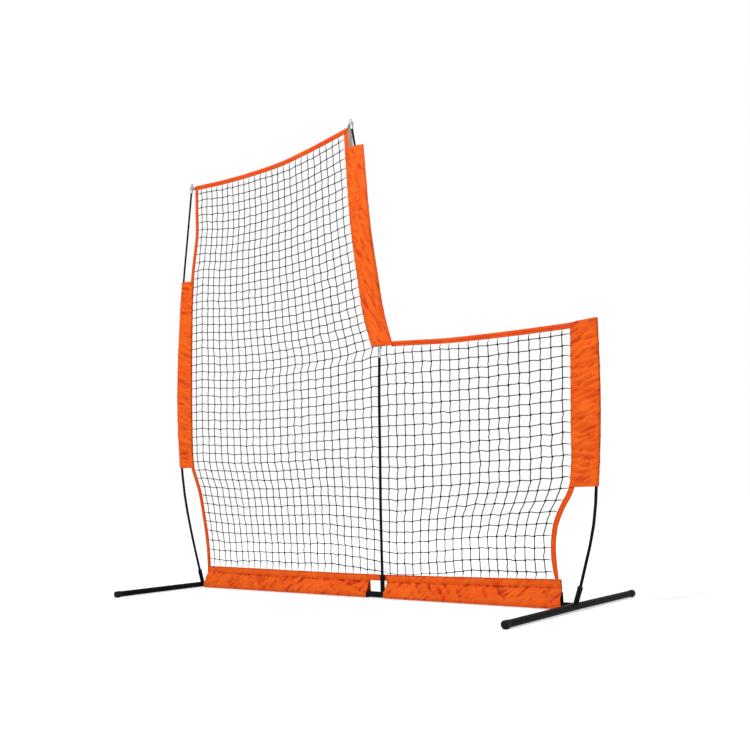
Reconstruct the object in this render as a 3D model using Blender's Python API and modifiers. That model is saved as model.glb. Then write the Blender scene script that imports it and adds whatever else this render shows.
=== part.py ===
"""Portable L screen for baseball practice: bowed poles that hold a net above a low steel base.

The screen stands in the XZ plane with its tall side towards -X, faces -Y, and rests on four foot
caps at z = 0. All sizes are metres. Its parent empty keeps the origin on the ground, midway between
the outermost points of the two sides.
"""

import math

import bmesh
import bpy
import numpy as np
from mathutils import Matrix, Vector

# Overall layout
BASE_WIDTH = 2.034
FOOT_LENGTH = 1.035
LEFT_POLE_HEIGHT = 2.129
CENTRE_POLE_HEIGHT = 2.169
RIGHT_POLE_HEIGHT = 1.034
CENTRE_POLE_FROM_LEFT = 1.147
LEFT_POLE_BOW = 0.190
CENTRE_POLE_LEAN = 0.122
RIGHT_POLE_BOW = 0.138

# Fits
CLEARANCE = 0.0003
CUT_OVERRUN = 0.002
MERGE_DISTANCE = 0.00001

# Steel tubes of the base
TUBE_DIAMETER = 0.0254
TUBE_WALL = 0.0015
FOOT_DROOP = 0.002
FOOT_BEND_HALF_LENGTH = 0.030
SPIGOT_LENGTH = 0.084
CENTRE_SPIGOT_LENGTH = 0.125
RAIL_SEAM_FROM_POLE = 0.030

# Moulded caps on the ends of the feet
CAP_WALL = 0.0008
CAP_LENGTH = 0.030
CAP_DOME = 0.005
CAP_LIP_FILLET = 0.0008
SOLE_WIDTH = 0.014
SOLE_LENGTH = 0.020
SOLE_PROUD = 0.0004
SOLE_END_MARGIN = 0.004

# Sockets that hold the poles
SOCKET_DIAMETER = 0.0190
SOCKET_WALL = 0.0016
SOCKET_TILT = math.radians(20.0)
SIDE_SOCKET_LENGTH = 0.049
CENTRE_SOCKET_LENGTH = 0.058
SOCKET_FLOOR = 0.006
COLLAR_DIAMETER = 0.0200
COLLAR_HEIGHT = 0.012
COLLAR_SLEEVE_DEPTH = 0.016
COLLAR_ROUNDING = 0.0015

# Fibreglass poles, their ferrules and their tips
LOWER_POLE_DIAMETER = 0.0120
UPPER_POLE_DIAMETER = 0.0100
FERRULE_DIAMETER = 0.0150
FERRULE_WALL = 0.0010
FERRULE_LENGTH = 0.134
FERRULE_MIDDLE_HEIGHT = 1.097
FERRULE_STEP = 0.008
POLE_END_GAP = 0.001
TIP_DIAMETER = 0.0155
TIP_LENGTH = 0.045
TIP_OVERHANG = 0.010
TIP_CHAMFER = 0.0008
TIP_CAP_DIAMETER = 0.0130
TIP_CAP_HEIGHT = 0.009
TIP_CAP_PLUG_DEPTH = 0.007

# Push buttons that lock the rail joints, and their leaf springs
BUTTON_DIAMETER = 0.0076
BUTTON_PROUD = 0.0042
BUTTON_DOME = 0.0018
BUTTON_FLANGE_DIAMETER = 0.0106
BUTTON_FLANGE_THICKNESS = 0.0012
BUTTON_FLANGE_DEPTH = 0.0024
FOOT_BUTTON_FROM_TUBE = 0.024
CENTRE_BUTTON_FROM_SEAM = 0.020
SPRING_WIDTH = 0.0050
SPRING_THICKNESS = 0.0006
SPRING_LENGTH = 0.030
SPRING_PAD_HALF_LENGTH = 0.0050
SPRING_WALL_GAP = 0.0004

# Fabric: edge bands, pole sleeves, skirt and straps
FABRIC_THICKNESS = 0.0010
BAND_THICKNESS = 0.0014
BAND_Y = 0.0112
NET_LAP = 0.006
LEFT_BAND_WIDTH = 0.020
CENTRE_BAND_WIDTH = 0.025
TOP_BAND_WIDTH = 0.023
NOTCH_BAND_WIDTH = 0.022
RIGHT_BAND_WIDTH = 0.020
HEM_BAND_WIDTH = 0.026
BAND_GAP = 0.0006
SIDE_SEAM_GAP = 0.0017
CENTRE_SEAM_GAP = 0.0012
SLEEVE_SEAM_RADIUS = 0.0014
SLEEVE_POLE_ROOM = 0.0090
LEFT_SLEEVE_LOW = 0.600
LEFT_SLEEVE_HIGH = 1.592
RIGHT_SLEEVE_LOW = 0.444
CENTRE_SLEEVE_BELOW_FERRULE_MIDDLE = 0.009
CENTRE_SLEEVE_BELOW_POLE_TOP = 0.139
CENTRE_SLEEVE_TOP_WIDTH = 0.090
CENTRE_SLEEVE_BOTTOM_WIDTH = 0.097
CENTRE_SLEEVE_FOOT_DROP = 0.007
CENTRE_SLEEVE_EDGE_Y = 0.006
HEM_TOP_LEFT = 0.1065
HEM_TOP_CENTRE = 0.0995
HEM_TOP_RIGHT = 0.110
SKIRT_BOTTOM = 0.0023
SKIRT_REACH = 0.0205
SKIRT_FOLD_DEPTH = 0.0022
SKIRT_FOLD_PITCH = 0.115
SKIRT_FOLD_SLANT = 0.9
SKIRT_LEFT_INSET = 0.028
SKIRT_RIGHT_INSET = 0.061
WINDOW_LEFT_OF_POLE = 0.079
WINDOW_RIGHT_OF_POLE = 0.014
HOOK_STRIP_HEIGHT = 0.034
HOOK_STRIP_THICKNESS = 0.0014
HOOK_STRIP_INSET = 0.002
STRAP_HEIGHT = 0.016
STRAP_THICKNESS = 0.0010
EDGE_STRAP_WIDTH = 0.018
EDGE_STRAP_LENGTH = 0.085

# Corners of the net, measured on its edge bands
LEFT_CORNER_BELOW_POLE_TOP = 0.014
CENTRE_CORNER_BELOW_POLE_TOP = 0.029
TOP_EDGE_SAG = 0.044
NOTCH_ABOVE_CENTRE_SLEEVE = 0.015
NOTCH_ABOVE_RIGHT_POLE = 0.026
TWINE = 0.003
TALL_NET_COLUMNS = 9
TALL_NET_ROWS = 16
LOW_NET_COLUMNS = 7
LOW_NET_ROWS = 7

# How finely round shapes are made
TUBE_SIDES = 16
POLE_SIDES_RESOLUTION = 2
TURNED_STEPS = 16
SLEEVE_SIDES = 18
SHARP_ANGLE = math.radians(35.0)

# Bow of each pole, as shares of its height and of its bow or lean, used from this share of the
# straight lower end's height upwards
BOW_START_SHARE = 1.3
LEFT_BOW_SHARES = [
    (0.118, 0.415), (0.212, 0.72), (0.280, 0.855), (0.376, 0.965), (0.505, 1.0),
    (0.613, 0.945), (0.748, 0.83), (0.872, 0.655), (1.0, 0.475),
]
RIGHT_BOW_SHARES = [
    (0.170, 0.352), (0.250, 0.535), (0.335, 0.672), (0.420, 0.745), (0.580, 0.87), (0.735, 0.95), (1.0, 1.0),
]
CENTRE_LEAN_SHARES = [
    (0.177, 0.0), (0.272, -0.03), (0.403, -0.06), (0.490, -0.12), (0.544, -0.15), (0.599, -0.09),
    (0.645, 0.02), (0.692, 0.155), (0.738, 0.295), (0.830, 0.54), (0.934, 0.795), (1.0, 1.0),
]

# Edge bands from their lower end to the corner above, as shares of that height and of the bow or lean
LEFT_BAND_SHARES = [
    (0.0, -0.185), (0.016, -0.176), (0.071, -0.097), (0.111, -0.003), (0.163, 0.134), (0.204, 0.279),
    (0.222, 0.38), (0.250, 0.50), (0.300, 0.56), (0.355, 0.585), (0.485, 0.606), (0.600, 0.601),
    (0.700, 0.575), (0.757, 0.522), (0.8135, 0.427), (0.8606, 0.350), (0.9225, 0.357), (1.0, 0.373),
]
RIGHT_BAND_SHARES = [
    (0.0, -0.590), (0.080, -0.624), (0.150, -0.609), (0.221, -0.498), (0.289, -0.257), (0.356, 0.013),
    (0.400, 0.070), (0.620, 0.170), (1.0, 0.305),
]
CENTRE_BAND_SHARES = [
    (0.0, 0.200), (0.1175, 0.511), (0.318, 0.805), (0.522, 1.050), (0.794, 1.216), (1.0, 1.325),
]
TOP_SAG_SHARES = [
    (0.0, 0.0), (0.206, 0.55), (0.406, 0.89), (0.585, 1.0), (0.774, 0.67), (0.889, 0.35), (1.0, 0.0),
]
NOTCH_FALL_SHARES = [(0.0, 0.0), (0.08, 0.15), (0.36, 0.69), (0.61, 0.90), (0.77, 0.985), (1.0, 1.0)]
SKIRT_SECTION_SHARES = [
    (0.546, 1.0), (0.37, 0.86), (0.02, 0.67), (-0.42, 0.48), (-0.76, 0.31), (-0.86, 0.17), (-0.64, 0.05),
    (0.0, 0.0), (0.64, 0.05), (1.0, 0.20), (0.98, 0.42), (0.93, 0.63), (0.873, 0.80), (0.873, 1.12),
]
SKIRT_FOLD_SHARES = [0.0, 0.15, 0.55, 0.9, 1.0, 0.8, 0.4, 0.1, 0.1, 0.15, 0.3, 0.2, 0.0, 0.0]
LEFT_SLEEVE_RING_SHARES = [0.0, 0.045, 0.10, 0.17, 0.27, 0.38, 0.50, 0.62, 0.74, 0.87, 1.0]
SPRING_PATH_SHARES = [(0.35, 0.86), (0.75, 0.48), (0.96, 0.22), (1.0, 0.11), (0.96, 0.03), (0.86, 0.0)]

# Worked out from the sizes above
TUBE_RADIUS = TUBE_DIAMETER / 2
BORE_RADIUS = TUBE_RADIUS - TUBE_WALL
SPIGOT_RADIUS = BORE_RADIUS - CLEARANCE
SPIGOT_BORE_RADIUS = SPIGOT_RADIUS - TUBE_WALL
CAP_RADIUS = TUBE_RADIUS + CLEARANCE * 2 + CAP_WALL
FOOT_END_HEIGHT = CAP_RADIUS + SOLE_PROUD
RAIL_HEIGHT = FOOT_END_HEIGHT + FOOT_DROOP
LEFT_FOOT_X = -BASE_WIDTH / 2
RIGHT_FOOT_X = BASE_WIDTH / 2
CENTRE_X = LEFT_FOOT_X + CENTRE_POLE_FROM_LEFT
RAIL_SEAM_X = CENTRE_X - RAIL_SEAM_FROM_POLE
FERRULE_LOW = FERRULE_MIDDLE_HEIGHT - FERRULE_LENGTH / 2
FERRULE_HIGH = FERRULE_MIDDLE_HEIGHT + FERRULE_LENGTH / 2
FERRULE_STEP_TOP = FERRULE_MIDDLE_HEIGHT + FERRULE_STEP
LEFT_CORNER_HEIGHT = LEFT_POLE_HEIGHT - LEFT_CORNER_BELOW_POLE_TOP
CENTRE_CORNER_HEIGHT = CENTRE_POLE_HEIGHT - CENTRE_CORNER_BELOW_POLE_TOP
CENTRE_SLEEVE_LOW = FERRULE_MIDDLE_HEIGHT - CENTRE_SLEEVE_BELOW_FERRULE_MIDDLE
CENTRE_SLEEVE_HIGH = CENTRE_POLE_HEIGHT - CENTRE_SLEEVE_BELOW_POLE_TOP
NOTCH_HEIGHT = CENTRE_SLEEVE_LOW + NOTCH_ABOVE_CENTRE_SLEEVE
NOTCH_FALL = NOTCH_HEIGHT - RIGHT_POLE_HEIGHT - NOTCH_ABOVE_RIGHT_POLE
NET_Y = BAND_Y + BAND_THICKNESS / 2 + CLEARANCE + TWINE / 2
HOOK_STRIP_Y = NET_Y + TWINE / 2 + CLEARANCE + HOOK_STRIP_THICKNESS / 2
LOWER_FERRULE_HEIGHTS = [FERRULE_LOW, (FERRULE_LOW + FERRULE_MIDDLE_HEIGHT) / 2, FERRULE_MIDDLE_HEIGHT]
UPPER_FERRULE_HEIGHTS = [FERRULE_STEP_TOP, (FERRULE_STEP_TOP + FERRULE_HIGH) / 2, FERRULE_HIGH]
HEM_LEFT_X = LEFT_FOOT_X + SKIRT_LEFT_INSET
HEM_RIGHT_X = RIGHT_FOOT_X - SKIRT_RIGHT_INSET

COLOURS = {
    "black_steel": ((0.012, 0.012, 0.013), 0.38, 0.0),
    "black_moulding": ((0.010, 0.010, 0.010), 0.62, 0.0),
    "fibreglass": ((0.010, 0.010, 0.011), 0.45, 0.0),
    "aluminium": ((0.62, 0.62, 0.64), 0.32, 1.0),
    "spring_steel": ((0.55, 0.55, 0.56), 0.30, 1.0),
    "grey_moulding": ((0.42, 0.43, 0.42), 0.55, 0.0),
    "orange_nylon": ((0.95, 0.13, 0.016), 0.58, 0.0),
    "net_twine": ((0.016, 0.016, 0.017), 0.80, 0.0),
    "grey_webbing": ((0.34, 0.34, 0.28), 0.85, 0.0),
    "hook_tape": ((0.012, 0.012, 0.012), 0.90, 0.0),
}


def clear_scene():
    for old in list(bpy.data.objects):
        bpy.data.objects.remove(old, do_unlink=True)


clear_scene()
PARTS = bpy.data.collections.new("l_screen")
CUTTERS = bpy.data.collections.new("cutters")
bpy.context.scene.collection.children.link(PARTS)
bpy.context.scene.collection.children.link(CUTTERS)


def material(name):
    """The named finish, made once."""
    found = bpy.data.materials.get(name)
    if found:
        return found
    colour, roughness, metallic = COLOURS[name]
    made = bpy.data.materials.new(name)
    made.use_nodes = True
    shader = made.node_tree.nodes["Principled BSDF"]
    shader.inputs["Base Color"].default_value = (*colour, 1.0)
    shader.inputs["Roughness"].default_value = roughness
    shader.inputs["Metallic"].default_value = metallic
    return made


GROUND_CENTRE = bpy.data.objects.new("ground_centre", None)
bpy.context.scene.collection.objects.link(GROUND_CENTRE)


def add_part(name, mesh, finish, place=None):
    """Put a mesh in the scene as one sub-part under the ground centre."""
    part = bpy.data.objects.new(name, mesh)
    PARTS.objects.link(part)
    part.parent = GROUND_CENTRE
    if place is not None:
        part.matrix_local = place
    mesh.materials.clear()
    mesh.materials.append(material(finish))
    return part


def smooth_shade(mesh):
    mesh.shade_smooth()
    mesh.set_sharp_from_angle(angle=SHARP_ANGLE)


def mesh_from(name, work):
    """Write a bmesh to a new mesh with its faces pointing outwards."""
    bmesh.ops.recalc_face_normals(work, faces=work.faces)
    mesh = bpy.data.meshes.new(name)
    work.to_mesh(mesh)
    work.free()
    smooth_shade(mesh)
    return mesh


def solidify(part, thickness, offset):
    shell = part.modifiers.new("wall", "SOLIDIFY")
    shell.thickness = thickness
    shell.offset = offset
    shell.use_even_offset = True


def cut(part, cutter):
    """Take the cutter's shape out of the part, and hide the cutter."""
    joint = part.modifiers.new("cut", "BOOLEAN")
    joint.operation = "DIFFERENCE"
    joint.solver = "EXACT"
    joint.object = cutter


def add_cutter(name, mesh, place):
    cutter = bpy.data.objects.new(name, mesh)
    CUTTERS.objects.link(cutter)
    cutter.parent = GROUND_CENTRE
    cutter.matrix_local = place
    cutter.hide_render = True
    cutter.display_type = "WIRE"
    return cutter


def along(start, direction):
    """A placement at start with its Z axis along direction."""
    turn = Vector(direction).normalized().to_track_quat("Z", "Y").to_matrix().to_4x4()
    return Matrix.Translation(start) @ turn


def cylinder_mesh(name, radius, low, high, sides=TUBE_SIDES, capped=True):
    """A cylinder round Z from low to high, open unless it is capped."""
    work = bmesh.new()
    bmesh.ops.create_cone(
        work, cap_ends=capped, segments=sides, radius1=radius, radius2=radius, depth=high - low
    )
    bmesh.ops.translate(work, verts=work.verts, vec=(0, 0, (low + high) / 2))
    return mesh_from(name, work)


def add_straight_tube(name, start, end, radius, wall, finish):
    """A straight open-ended tube from start to end."""
    span = Vector(end) - Vector(start)
    mesh = cylinder_mesh(name, radius, 0, span.length, capped=False)
    tube = add_part(name, mesh, finish, along(start, span))
    solidify(tube, wall, -1)
    return tube


def curve_mesh(name, points, radius, sides_resolution, capped, shares=None):
    """The mesh of a round bar or open tube along the points; shares scale its radius point by point."""
    data = bpy.data.curves.new(name, "CURVE")
    data.dimensions = "3D"
    data.bevel_depth = radius
    data.bevel_resolution = sides_resolution
    data.use_fill_caps = capped
    spline = data.splines.new("POLY")
    spline.points.add(len(points) - 1)
    for number, point in enumerate(points):
        spline.points[number].co = (*point, 1.0)
        spline.points[number].radius = shares[number] if shares else 1.0
    holder = bpy.data.objects.new(name, data)
    CUTTERS.objects.link(holder)
    evaluated = holder.evaluated_get(bpy.context.evaluated_depsgraph_get())
    mesh = bpy.data.meshes.new_from_object(evaluated)
    bpy.data.objects.remove(holder, do_unlink=True)
    bpy.data.curves.remove(data)
    work = bmesh.new()
    work.from_mesh(mesh)
    bpy.data.meshes.remove(mesh)
    bmesh.ops.remove_doubles(work, verts=work.verts, dist=MERGE_DISTANCE)
    return mesh_from(name, work)


def add_turned(name, profile, finish, place, steps=TURNED_STEPS):
    """A turned piece: the profile runs down its outer side from top to bottom, as (radius, height)."""
    mesh = bpy.data.meshes.new(name)
    vertices = [(radius, 0, height) for radius, height in profile]
    edges = [(number, number + 1) for number in range(len(profile) - 1)]
    closed = profile[0][0] > 0
    if closed:
        edges.append((len(profile) - 1, 0))
    mesh.from_pydata(vertices, edges, [])
    part = add_part(name, mesh, finish, place)
    turn = part.modifiers.new("turn", "SCREW")
    turn.axis = "Z"
    turn.steps = steps
    turn.render_steps = steps
    turn.use_merge_vertices = True
    turn.merge_threshold = MERGE_DISTANCE
    turn.use_smooth_shade = False
    return part


def arc(centre_radius, centre_height, radius, start_share, end_share, points):
    """Points of a profile's round corner; shares count quarter turns up from the horizontal."""
    turned = []
    for number in range(points):
        share = start_share + (end_share - start_share) * number / (points - 1)
        angle = share * math.pi / 2
        turned.append((centre_radius + radius * math.cos(angle), centre_height + radius * math.sin(angle)))
    return turned


# Smooth lines through a few points


def smooth_value(table, at, first_slope=None):
    """The value at a place on the smooth curve through the table's (place, value) pairs."""
    places = np.array([pair[0] for pair in table])
    values = np.array([pair[1] for pair in table])
    slopes = np.gradient(values, places)
    if first_slope is not None:
        slopes[0] = first_slope
    at = min(max(at, places[0]), places[-1])
    right = int(np.clip(np.searchsorted(places, at), 1, len(places) - 1))
    left = right - 1
    width = places[right] - places[left]
    t = (at - places[left]) / width
    start = (1 + 2 * t) * (1 - t) ** 2 * values[left] + t * (1 - t) ** 2 * width * slopes[left]
    finish = t * t * (3 - 2 * t) * values[right] + t * t * (t - 1) * width * slopes[right]
    return float(start + finish)


class Pole:
    """The centre line of one bowed pole, given by its height above the ground."""

    def __init__(self, foot_x, side, tilt, socket_length, height, bow, shares):
        self.foot_x = foot_x
        self.side = side
        self.tilt = tilt
        self.height = height
        self.base = Vector((foot_x, 0, RAIL_HEIGHT + TUBE_RADIUS))
        self.axis = Vector((side * math.sin(tilt), 0, math.cos(tilt)))
        self.socket_top = self.base + self.axis * socket_length
        self.straight_top = self.socket_top + self.axis * COLLAR_HEIGHT
        reach = (self.straight_top.x - foot_x) * side
        self.table = [(self.straight_top.z, reach)]
        lowest = BOW_START_SHARE * self.straight_top.z
        self.table += [(share * height, part * bow) for share, part in shares if share * height > lowest]

    def x(self, z):
        """The centre line's X at a height."""
        slope = math.tan(self.tilt)
        if z <= self.straight_top.z:
            reach = (z - self.base.z) * slope
        else:
            reach = smooth_value(self.table, z, slope)
        return self.foot_x + self.side * reach

    def point(self, z):
        return Vector((self.x(z), 0, z))


LEFT_POLE = Pole(
    LEFT_FOOT_X, -1, SOCKET_TILT, SIDE_SOCKET_LENGTH, LEFT_POLE_HEIGHT, LEFT_POLE_BOW, LEFT_BOW_SHARES
)
CENTRE_POLE = Pole(
    CENTRE_X, -1, 0, CENTRE_SOCKET_LENGTH, CENTRE_POLE_HEIGHT, CENTRE_POLE_LEAN, CENTRE_LEAN_SHARES
)
RIGHT_POLE = Pole(
    RIGHT_FOOT_X, 1, SOCKET_TILT, SIDE_SOCKET_LENGTH, RIGHT_POLE_HEIGHT, RIGHT_POLE_BOW, RIGHT_BOW_SHARES
)


# Base: feet, rails and the spigots that join them


def foot_half_length():
    return FOOT_LENGTH / 2 - CAP_DOME


def add_foot(name, x):
    """A foot tube, bent down a little to both sides of its middle."""
    half = foot_half_length() - CLEARANCE
    bend = FOOT_BEND_HALF_LENGTH
    rise = FOOT_DROOP * bend / half
    points = [
        (x, -half, FOOT_END_HEIGHT),
        (x, -bend, RAIL_HEIGHT - rise),
        (x, 0, RAIL_HEIGHT - rise / 4),
        (x, bend, RAIL_HEIGHT - rise),
        (x, half, FOOT_END_HEIGHT),
    ]
    mesh = curve_mesh(name, points, TUBE_RADIUS, TUBE_SIDES // 4 - 1, False)
    foot = add_part(name, mesh, "black_steel")
    solidify(foot, TUBE_WALL, -1)


def add_foot_cap(name, x, side):
    """A cap pushed over the end of a foot, with a flat sole under it."""
    end = Vector((x, side * foot_half_length(), FOOT_END_HEIGHT))
    slope = FOOT_DROOP / foot_half_length()
    outward = Vector((0, side, -slope)).normalized()
    open_end = CAP_DOME - CAP_LENGTH
    inner = TUBE_RADIUS + CLEARANCE * 2
    dome = [(CAP_RADIUS * math.cos(angle), CAP_DOME * math.sin(angle))
            for angle in np.linspace(math.pi / 2, 0, 6)[1:]]
    profile = [(0, CAP_DOME)] + dome
    profile += [(CAP_RADIUS, open_end + CAP_LIP_FILLET), (CAP_RADIUS - CAP_LIP_FILLET, open_end)]
    profile += [(inner, open_end), (inner, 0), (0, 0)]
    cap = add_turned(name, profile, "black_moulding", along(end, outward))
    sole = bmesh.new()
    bmesh.ops.create_cube(sole, size=1.0)
    height = FOOT_END_HEIGHT - inner - CLEARANCE
    scale = Vector((SOLE_WIDTH, SOLE_LENGTH, height))
    bmesh.ops.scale(sole, verts=sole.verts, vec=scale)
    middle_y = side * (foot_half_length() - SOLE_LENGTH / 2 + CAP_DOME - SOLE_END_MARGIN)
    bmesh.ops.translate(sole, verts=sole.verts, vec=(x, middle_y, height / 2))
    sole_object = add_cutter(name + "_sole", mesh_from(name + "_sole", sole), Matrix())
    join = cap.modifiers.new("sole", "BOOLEAN")
    join.operation = "UNION"
    join.solver = "EXACT"
    join.object = sole_object


def button_place(x):
    """Where a push button sits in the rail: its Z axis points out of the rear of the tube."""
    return along((x, 0, RAIL_HEIGHT), (0, 1, 0))


def cut_button_hole(tube, name, x):
    radius = BUTTON_DIAMETER / 2 + CLEARANCE
    mesh = cylinder_mesh(name, radius, 0, TUBE_RADIUS + CUT_OVERRUN)
    cut(tube, add_cutter(name, mesh, button_place(x)))


def add_rail(name, start_x, end_x, button_xs):
    """A ground rail, with a hole for each button."""
    rail = add_straight_tube(
        name, (start_x, 0, RAIL_HEIGHT), (end_x, 0, RAIL_HEIGHT), TUBE_RADIUS, TUBE_WALL, "black_steel"
    )
    for number, x in enumerate(button_xs):
        cut_button_hole(rail, f"{name}_hole_{number}", x)
    return rail


def add_spigot(name, start_x, end_x, button_x):
    """The smaller tube that joins two tubes from the inside."""
    spigot = add_straight_tube(
        name, (start_x, 0, RAIL_HEIGHT), (end_x, 0, RAIL_HEIGHT), SPIGOT_RADIUS, TUBE_WALL, "black_steel"
    )
    cut_button_hole(spigot, name + "_hole", button_x)
    return spigot


def add_button(name, x):
    """A domed push button with the flange that keeps it in the spigot."""
    radius = BUTTON_DIAMETER / 2
    top = TUBE_RADIUS + BUTTON_PROUD
    flange_top = SPIGOT_BORE_RADIUS - BUTTON_FLANGE_DEPTH
    flange_radius = BUTTON_FLANGE_DIAMETER / 2
    dome = [(radius * math.cos(angle), top - BUTTON_DOME + BUTTON_DOME * math.sin(angle))
            for angle in np.linspace(math.pi / 2, 0, 5)[1:]]
    profile = [(0, top)] + dome + [(radius, flange_top), (flange_radius, flange_top)]
    flange_bottom = flange_top - BUTTON_FLANGE_THICKNESS
    profile += [(flange_radius, flange_bottom), (0, flange_bottom)]
    add_turned(name, profile, "spring_steel", button_place(x))


def add_button_spring(name, x, side):
    """The bent leaf under a button: one leg on the spigot's wall, the other under the flange."""
    half_width = SPRING_WIDTH / 2
    wall_y = -math.sqrt(SPIGOT_BORE_RADIUS ** 2 - half_width ** 2)
    low = wall_y + SPRING_WALL_GAP + SPRING_THICKNESS / 2
    flange = SPIGOT_BORE_RADIUS - BUTTON_FLANGE_DEPTH - BUTTON_FLANGE_THICKNESS
    high = flange - CLEARANCE - SPRING_THICKNESS / 2
    path = [(-SPRING_PAD_HALF_LENGTH, high), (SPRING_PAD_HALF_LENGTH, high)]
    path += [(run * SPRING_LENGTH, low + rise * (high - low)) for run, rise in SPRING_PATH_SHARES]
    path.append((-SPRING_PAD_HALF_LENGTH, low))
    work = bmesh.new()
    rows = []
    for run, y in path:
        place = (x + side * run, y, RAIL_HEIGHT)
        lower = work.verts.new((place[0], place[1], place[2] - half_width))
        upper = work.verts.new((place[0], place[1], place[2] + half_width))
        rows.append((lower, upper))
    for (a, b), (c, d) in zip(rows, rows[1:]):
        work.faces.new((a, c, d, b))
    spring = add_part(name, mesh_from(name, work), "spring_steel")
    solidify(spring, SPRING_THICKNESS, 0)


# Sockets, collars and poles


def add_socket(name, pole, length, tube_direction):
    """A tube welded on the base, coped to the tube it stands on, with a floor that the pole rests on."""
    place = along(pole.base, pole.axis)
    root = -TUBE_RADIUS
    socket = add_part(name, cylinder_mesh(name, SOCKET_DIAMETER / 2, root, length), "black_steel", place)
    bore_radius = SOCKET_DIAMETER / 2 - SOCKET_WALL
    bore = cylinder_mesh(name + "_bore", bore_radius, SOCKET_FLOOR, length + CUT_OVERRUN)
    cut(socket, add_cutter(name + "_bore", bore, place))
    reach = SOCKET_DIAMETER
    cope = cylinder_mesh(name + "_cope", TUBE_RADIUS + CLEARANCE, -reach, reach, TUBE_SIDES * 2)
    tube_middle = pole.base - Vector((0, 0, TUBE_RADIUS))
    cut(socket, add_cutter(name + "_cope", cope, along(tube_middle, tube_direction)))


def add_collar(name, pole):
    """The moulded bush in a socket's mouth that centres the pole."""
    bore = LOWER_POLE_DIAMETER / 2 + CLEARANCE
    sleeve = SOCKET_DIAMETER / 2 - SOCKET_WALL - CLEARANCE
    outer = COLLAR_DIAMETER / 2
    top = COLLAR_HEIGHT
    profile = [(bore, top)]
    profile += arc(outer - COLLAR_ROUNDING, top - COLLAR_ROUNDING, COLLAR_ROUNDING, 1, 0, 4)
    profile += [(outer, CLEARANCE), (sleeve, CLEARANCE)]
    profile += [(sleeve, -COLLAR_SLEEVE_DEPTH), (bore, -COLLAR_SLEEVE_DEPTH)]
    add_turned(name, profile, "black_moulding", along(pole.socket_top, pole.axis))


def pole_seat(pole):
    """The height at which a pole's foot stands on its socket's floor."""
    return pole.base.z + (SOCKET_FLOOR + CLEARANCE) * pole.axis.z


def add_pole_section(name, pole, heights, diameter):
    """A round rod along the pole's line, with a bend at each of the heights."""
    points = [pole.point(height) for height in heights]
    mesh = curve_mesh(name, points, diameter / 2, POLE_SIDES_RESOLUTION, True)
    add_part(name, mesh, "fibreglass")


def add_ferrule(name, pole):
    """The metal tube that joins two pole sections, swaged down to the thinner upper one."""
    narrow = FERRULE_DIAMETER - LOWER_POLE_DIAMETER + UPPER_POLE_DIAMETER
    thin_share = narrow / FERRULE_DIAMETER
    heights = LOWER_FERRULE_HEIGHTS + UPPER_FERRULE_HEIGHTS
    shares = [1.0] * len(LOWER_FERRULE_HEIGHTS) + [thin_share] * len(UPPER_FERRULE_HEIGHTS)
    points = [pole.point(height) for height in heights]
    mesh = curve_mesh(name, points, FERRULE_DIAMETER / 2, TUBE_SIDES // 4 - 1, False, shares)
    ferrule = add_part(name, mesh, "aluminium")
    solidify(ferrule, FERRULE_WALL, -1)


def pole_top(pole):
    """The height at which the rod ends inside its tip."""
    return pole.height - TIP_CAP_HEIGHT - TIP_CAP_PLUG_DEPTH - POLE_END_GAP


def tip_foot(pole):
    """The height from which a pole runs straight into its tip."""
    return pole_top(pole) - TIP_LENGTH


def tip_place(pole):
    """The tip's placement: its rim, with Z along the pole's last stretch."""
    top = pole_top(pole)
    direction = (pole.point(top) - pole.point(tip_foot(pole))).normalized()
    rim = pole.point(top) + direction * (POLE_END_GAP + TIP_CAP_PLUG_DEPTH)
    return along(rim, direction)


def add_tip(name, pole, diameter):
    """The metal tube on a pole's top end."""
    bore = diameter / 2 + CLEARANCE
    outer = TIP_DIAMETER / 2
    profile = [
        (bore, 0), (outer - TIP_CHAMFER, 0), (outer, -TIP_CHAMFER),
        (outer, TIP_CHAMFER - TIP_LENGTH), (outer - TIP_CHAMFER, -TIP_LENGTH), (bore, -TIP_LENGTH),
    ]
    add_turned(name, profile, "aluminium", tip_place(pole))


def add_tip_cap(name, pole, diameter):
    """The moulded plug that closes a tip."""
    radius = TIP_CAP_DIAMETER / 2
    plug = diameter / 2
    dome = [(radius * math.cos(angle), TIP_CAP_HEIGHT * math.sin(angle))
            for angle in np.linspace(math.pi / 2, 0, 6)[1:-1]]
    profile = [(0, TIP_CAP_HEIGHT)] + dome
    profile += [(radius, CLEARANCE), (plug, CLEARANCE), (plug, -TIP_CAP_PLUG_DEPTH), (0, -TIP_CAP_PLUG_DEPTH)]
    add_turned(name, profile, "grey_moulding", tip_place(pole))


# Outline of the net and its edge bands


def hem_top(x):
    """The height of the hem band's upper edge."""
    table = [(LEFT_FOOT_X, HEM_TOP_LEFT), (CENTRE_X, HEM_TOP_CENTRE), (RIGHT_FOOT_X, HEM_TOP_RIGHT)]
    return smooth_value(table, x)


def left_band_x(z):
    low = HEM_TOP_LEFT
    share = (z - low) / (LEFT_CORNER_HEIGHT - low)
    return LEFT_FOOT_X - LEFT_POLE_BOW * smooth_value(LEFT_BAND_SHARES, share)


def right_band_x(z):
    low = HEM_TOP_RIGHT
    share = (z - low) / (notch_band_z(RIGHT_FOOT_X) - low)
    return RIGHT_FOOT_X + RIGHT_POLE_BOW * smooth_value(RIGHT_BAND_SHARES, share)


def centre_band_x(z):
    low = CENTRE_SLEEVE_LOW
    share = (z - low) / (CENTRE_CORNER_HEIGHT - low)
    return CENTRE_X - CENTRE_POLE_LEAN * smooth_value(CENTRE_BAND_SHARES, share)


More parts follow.
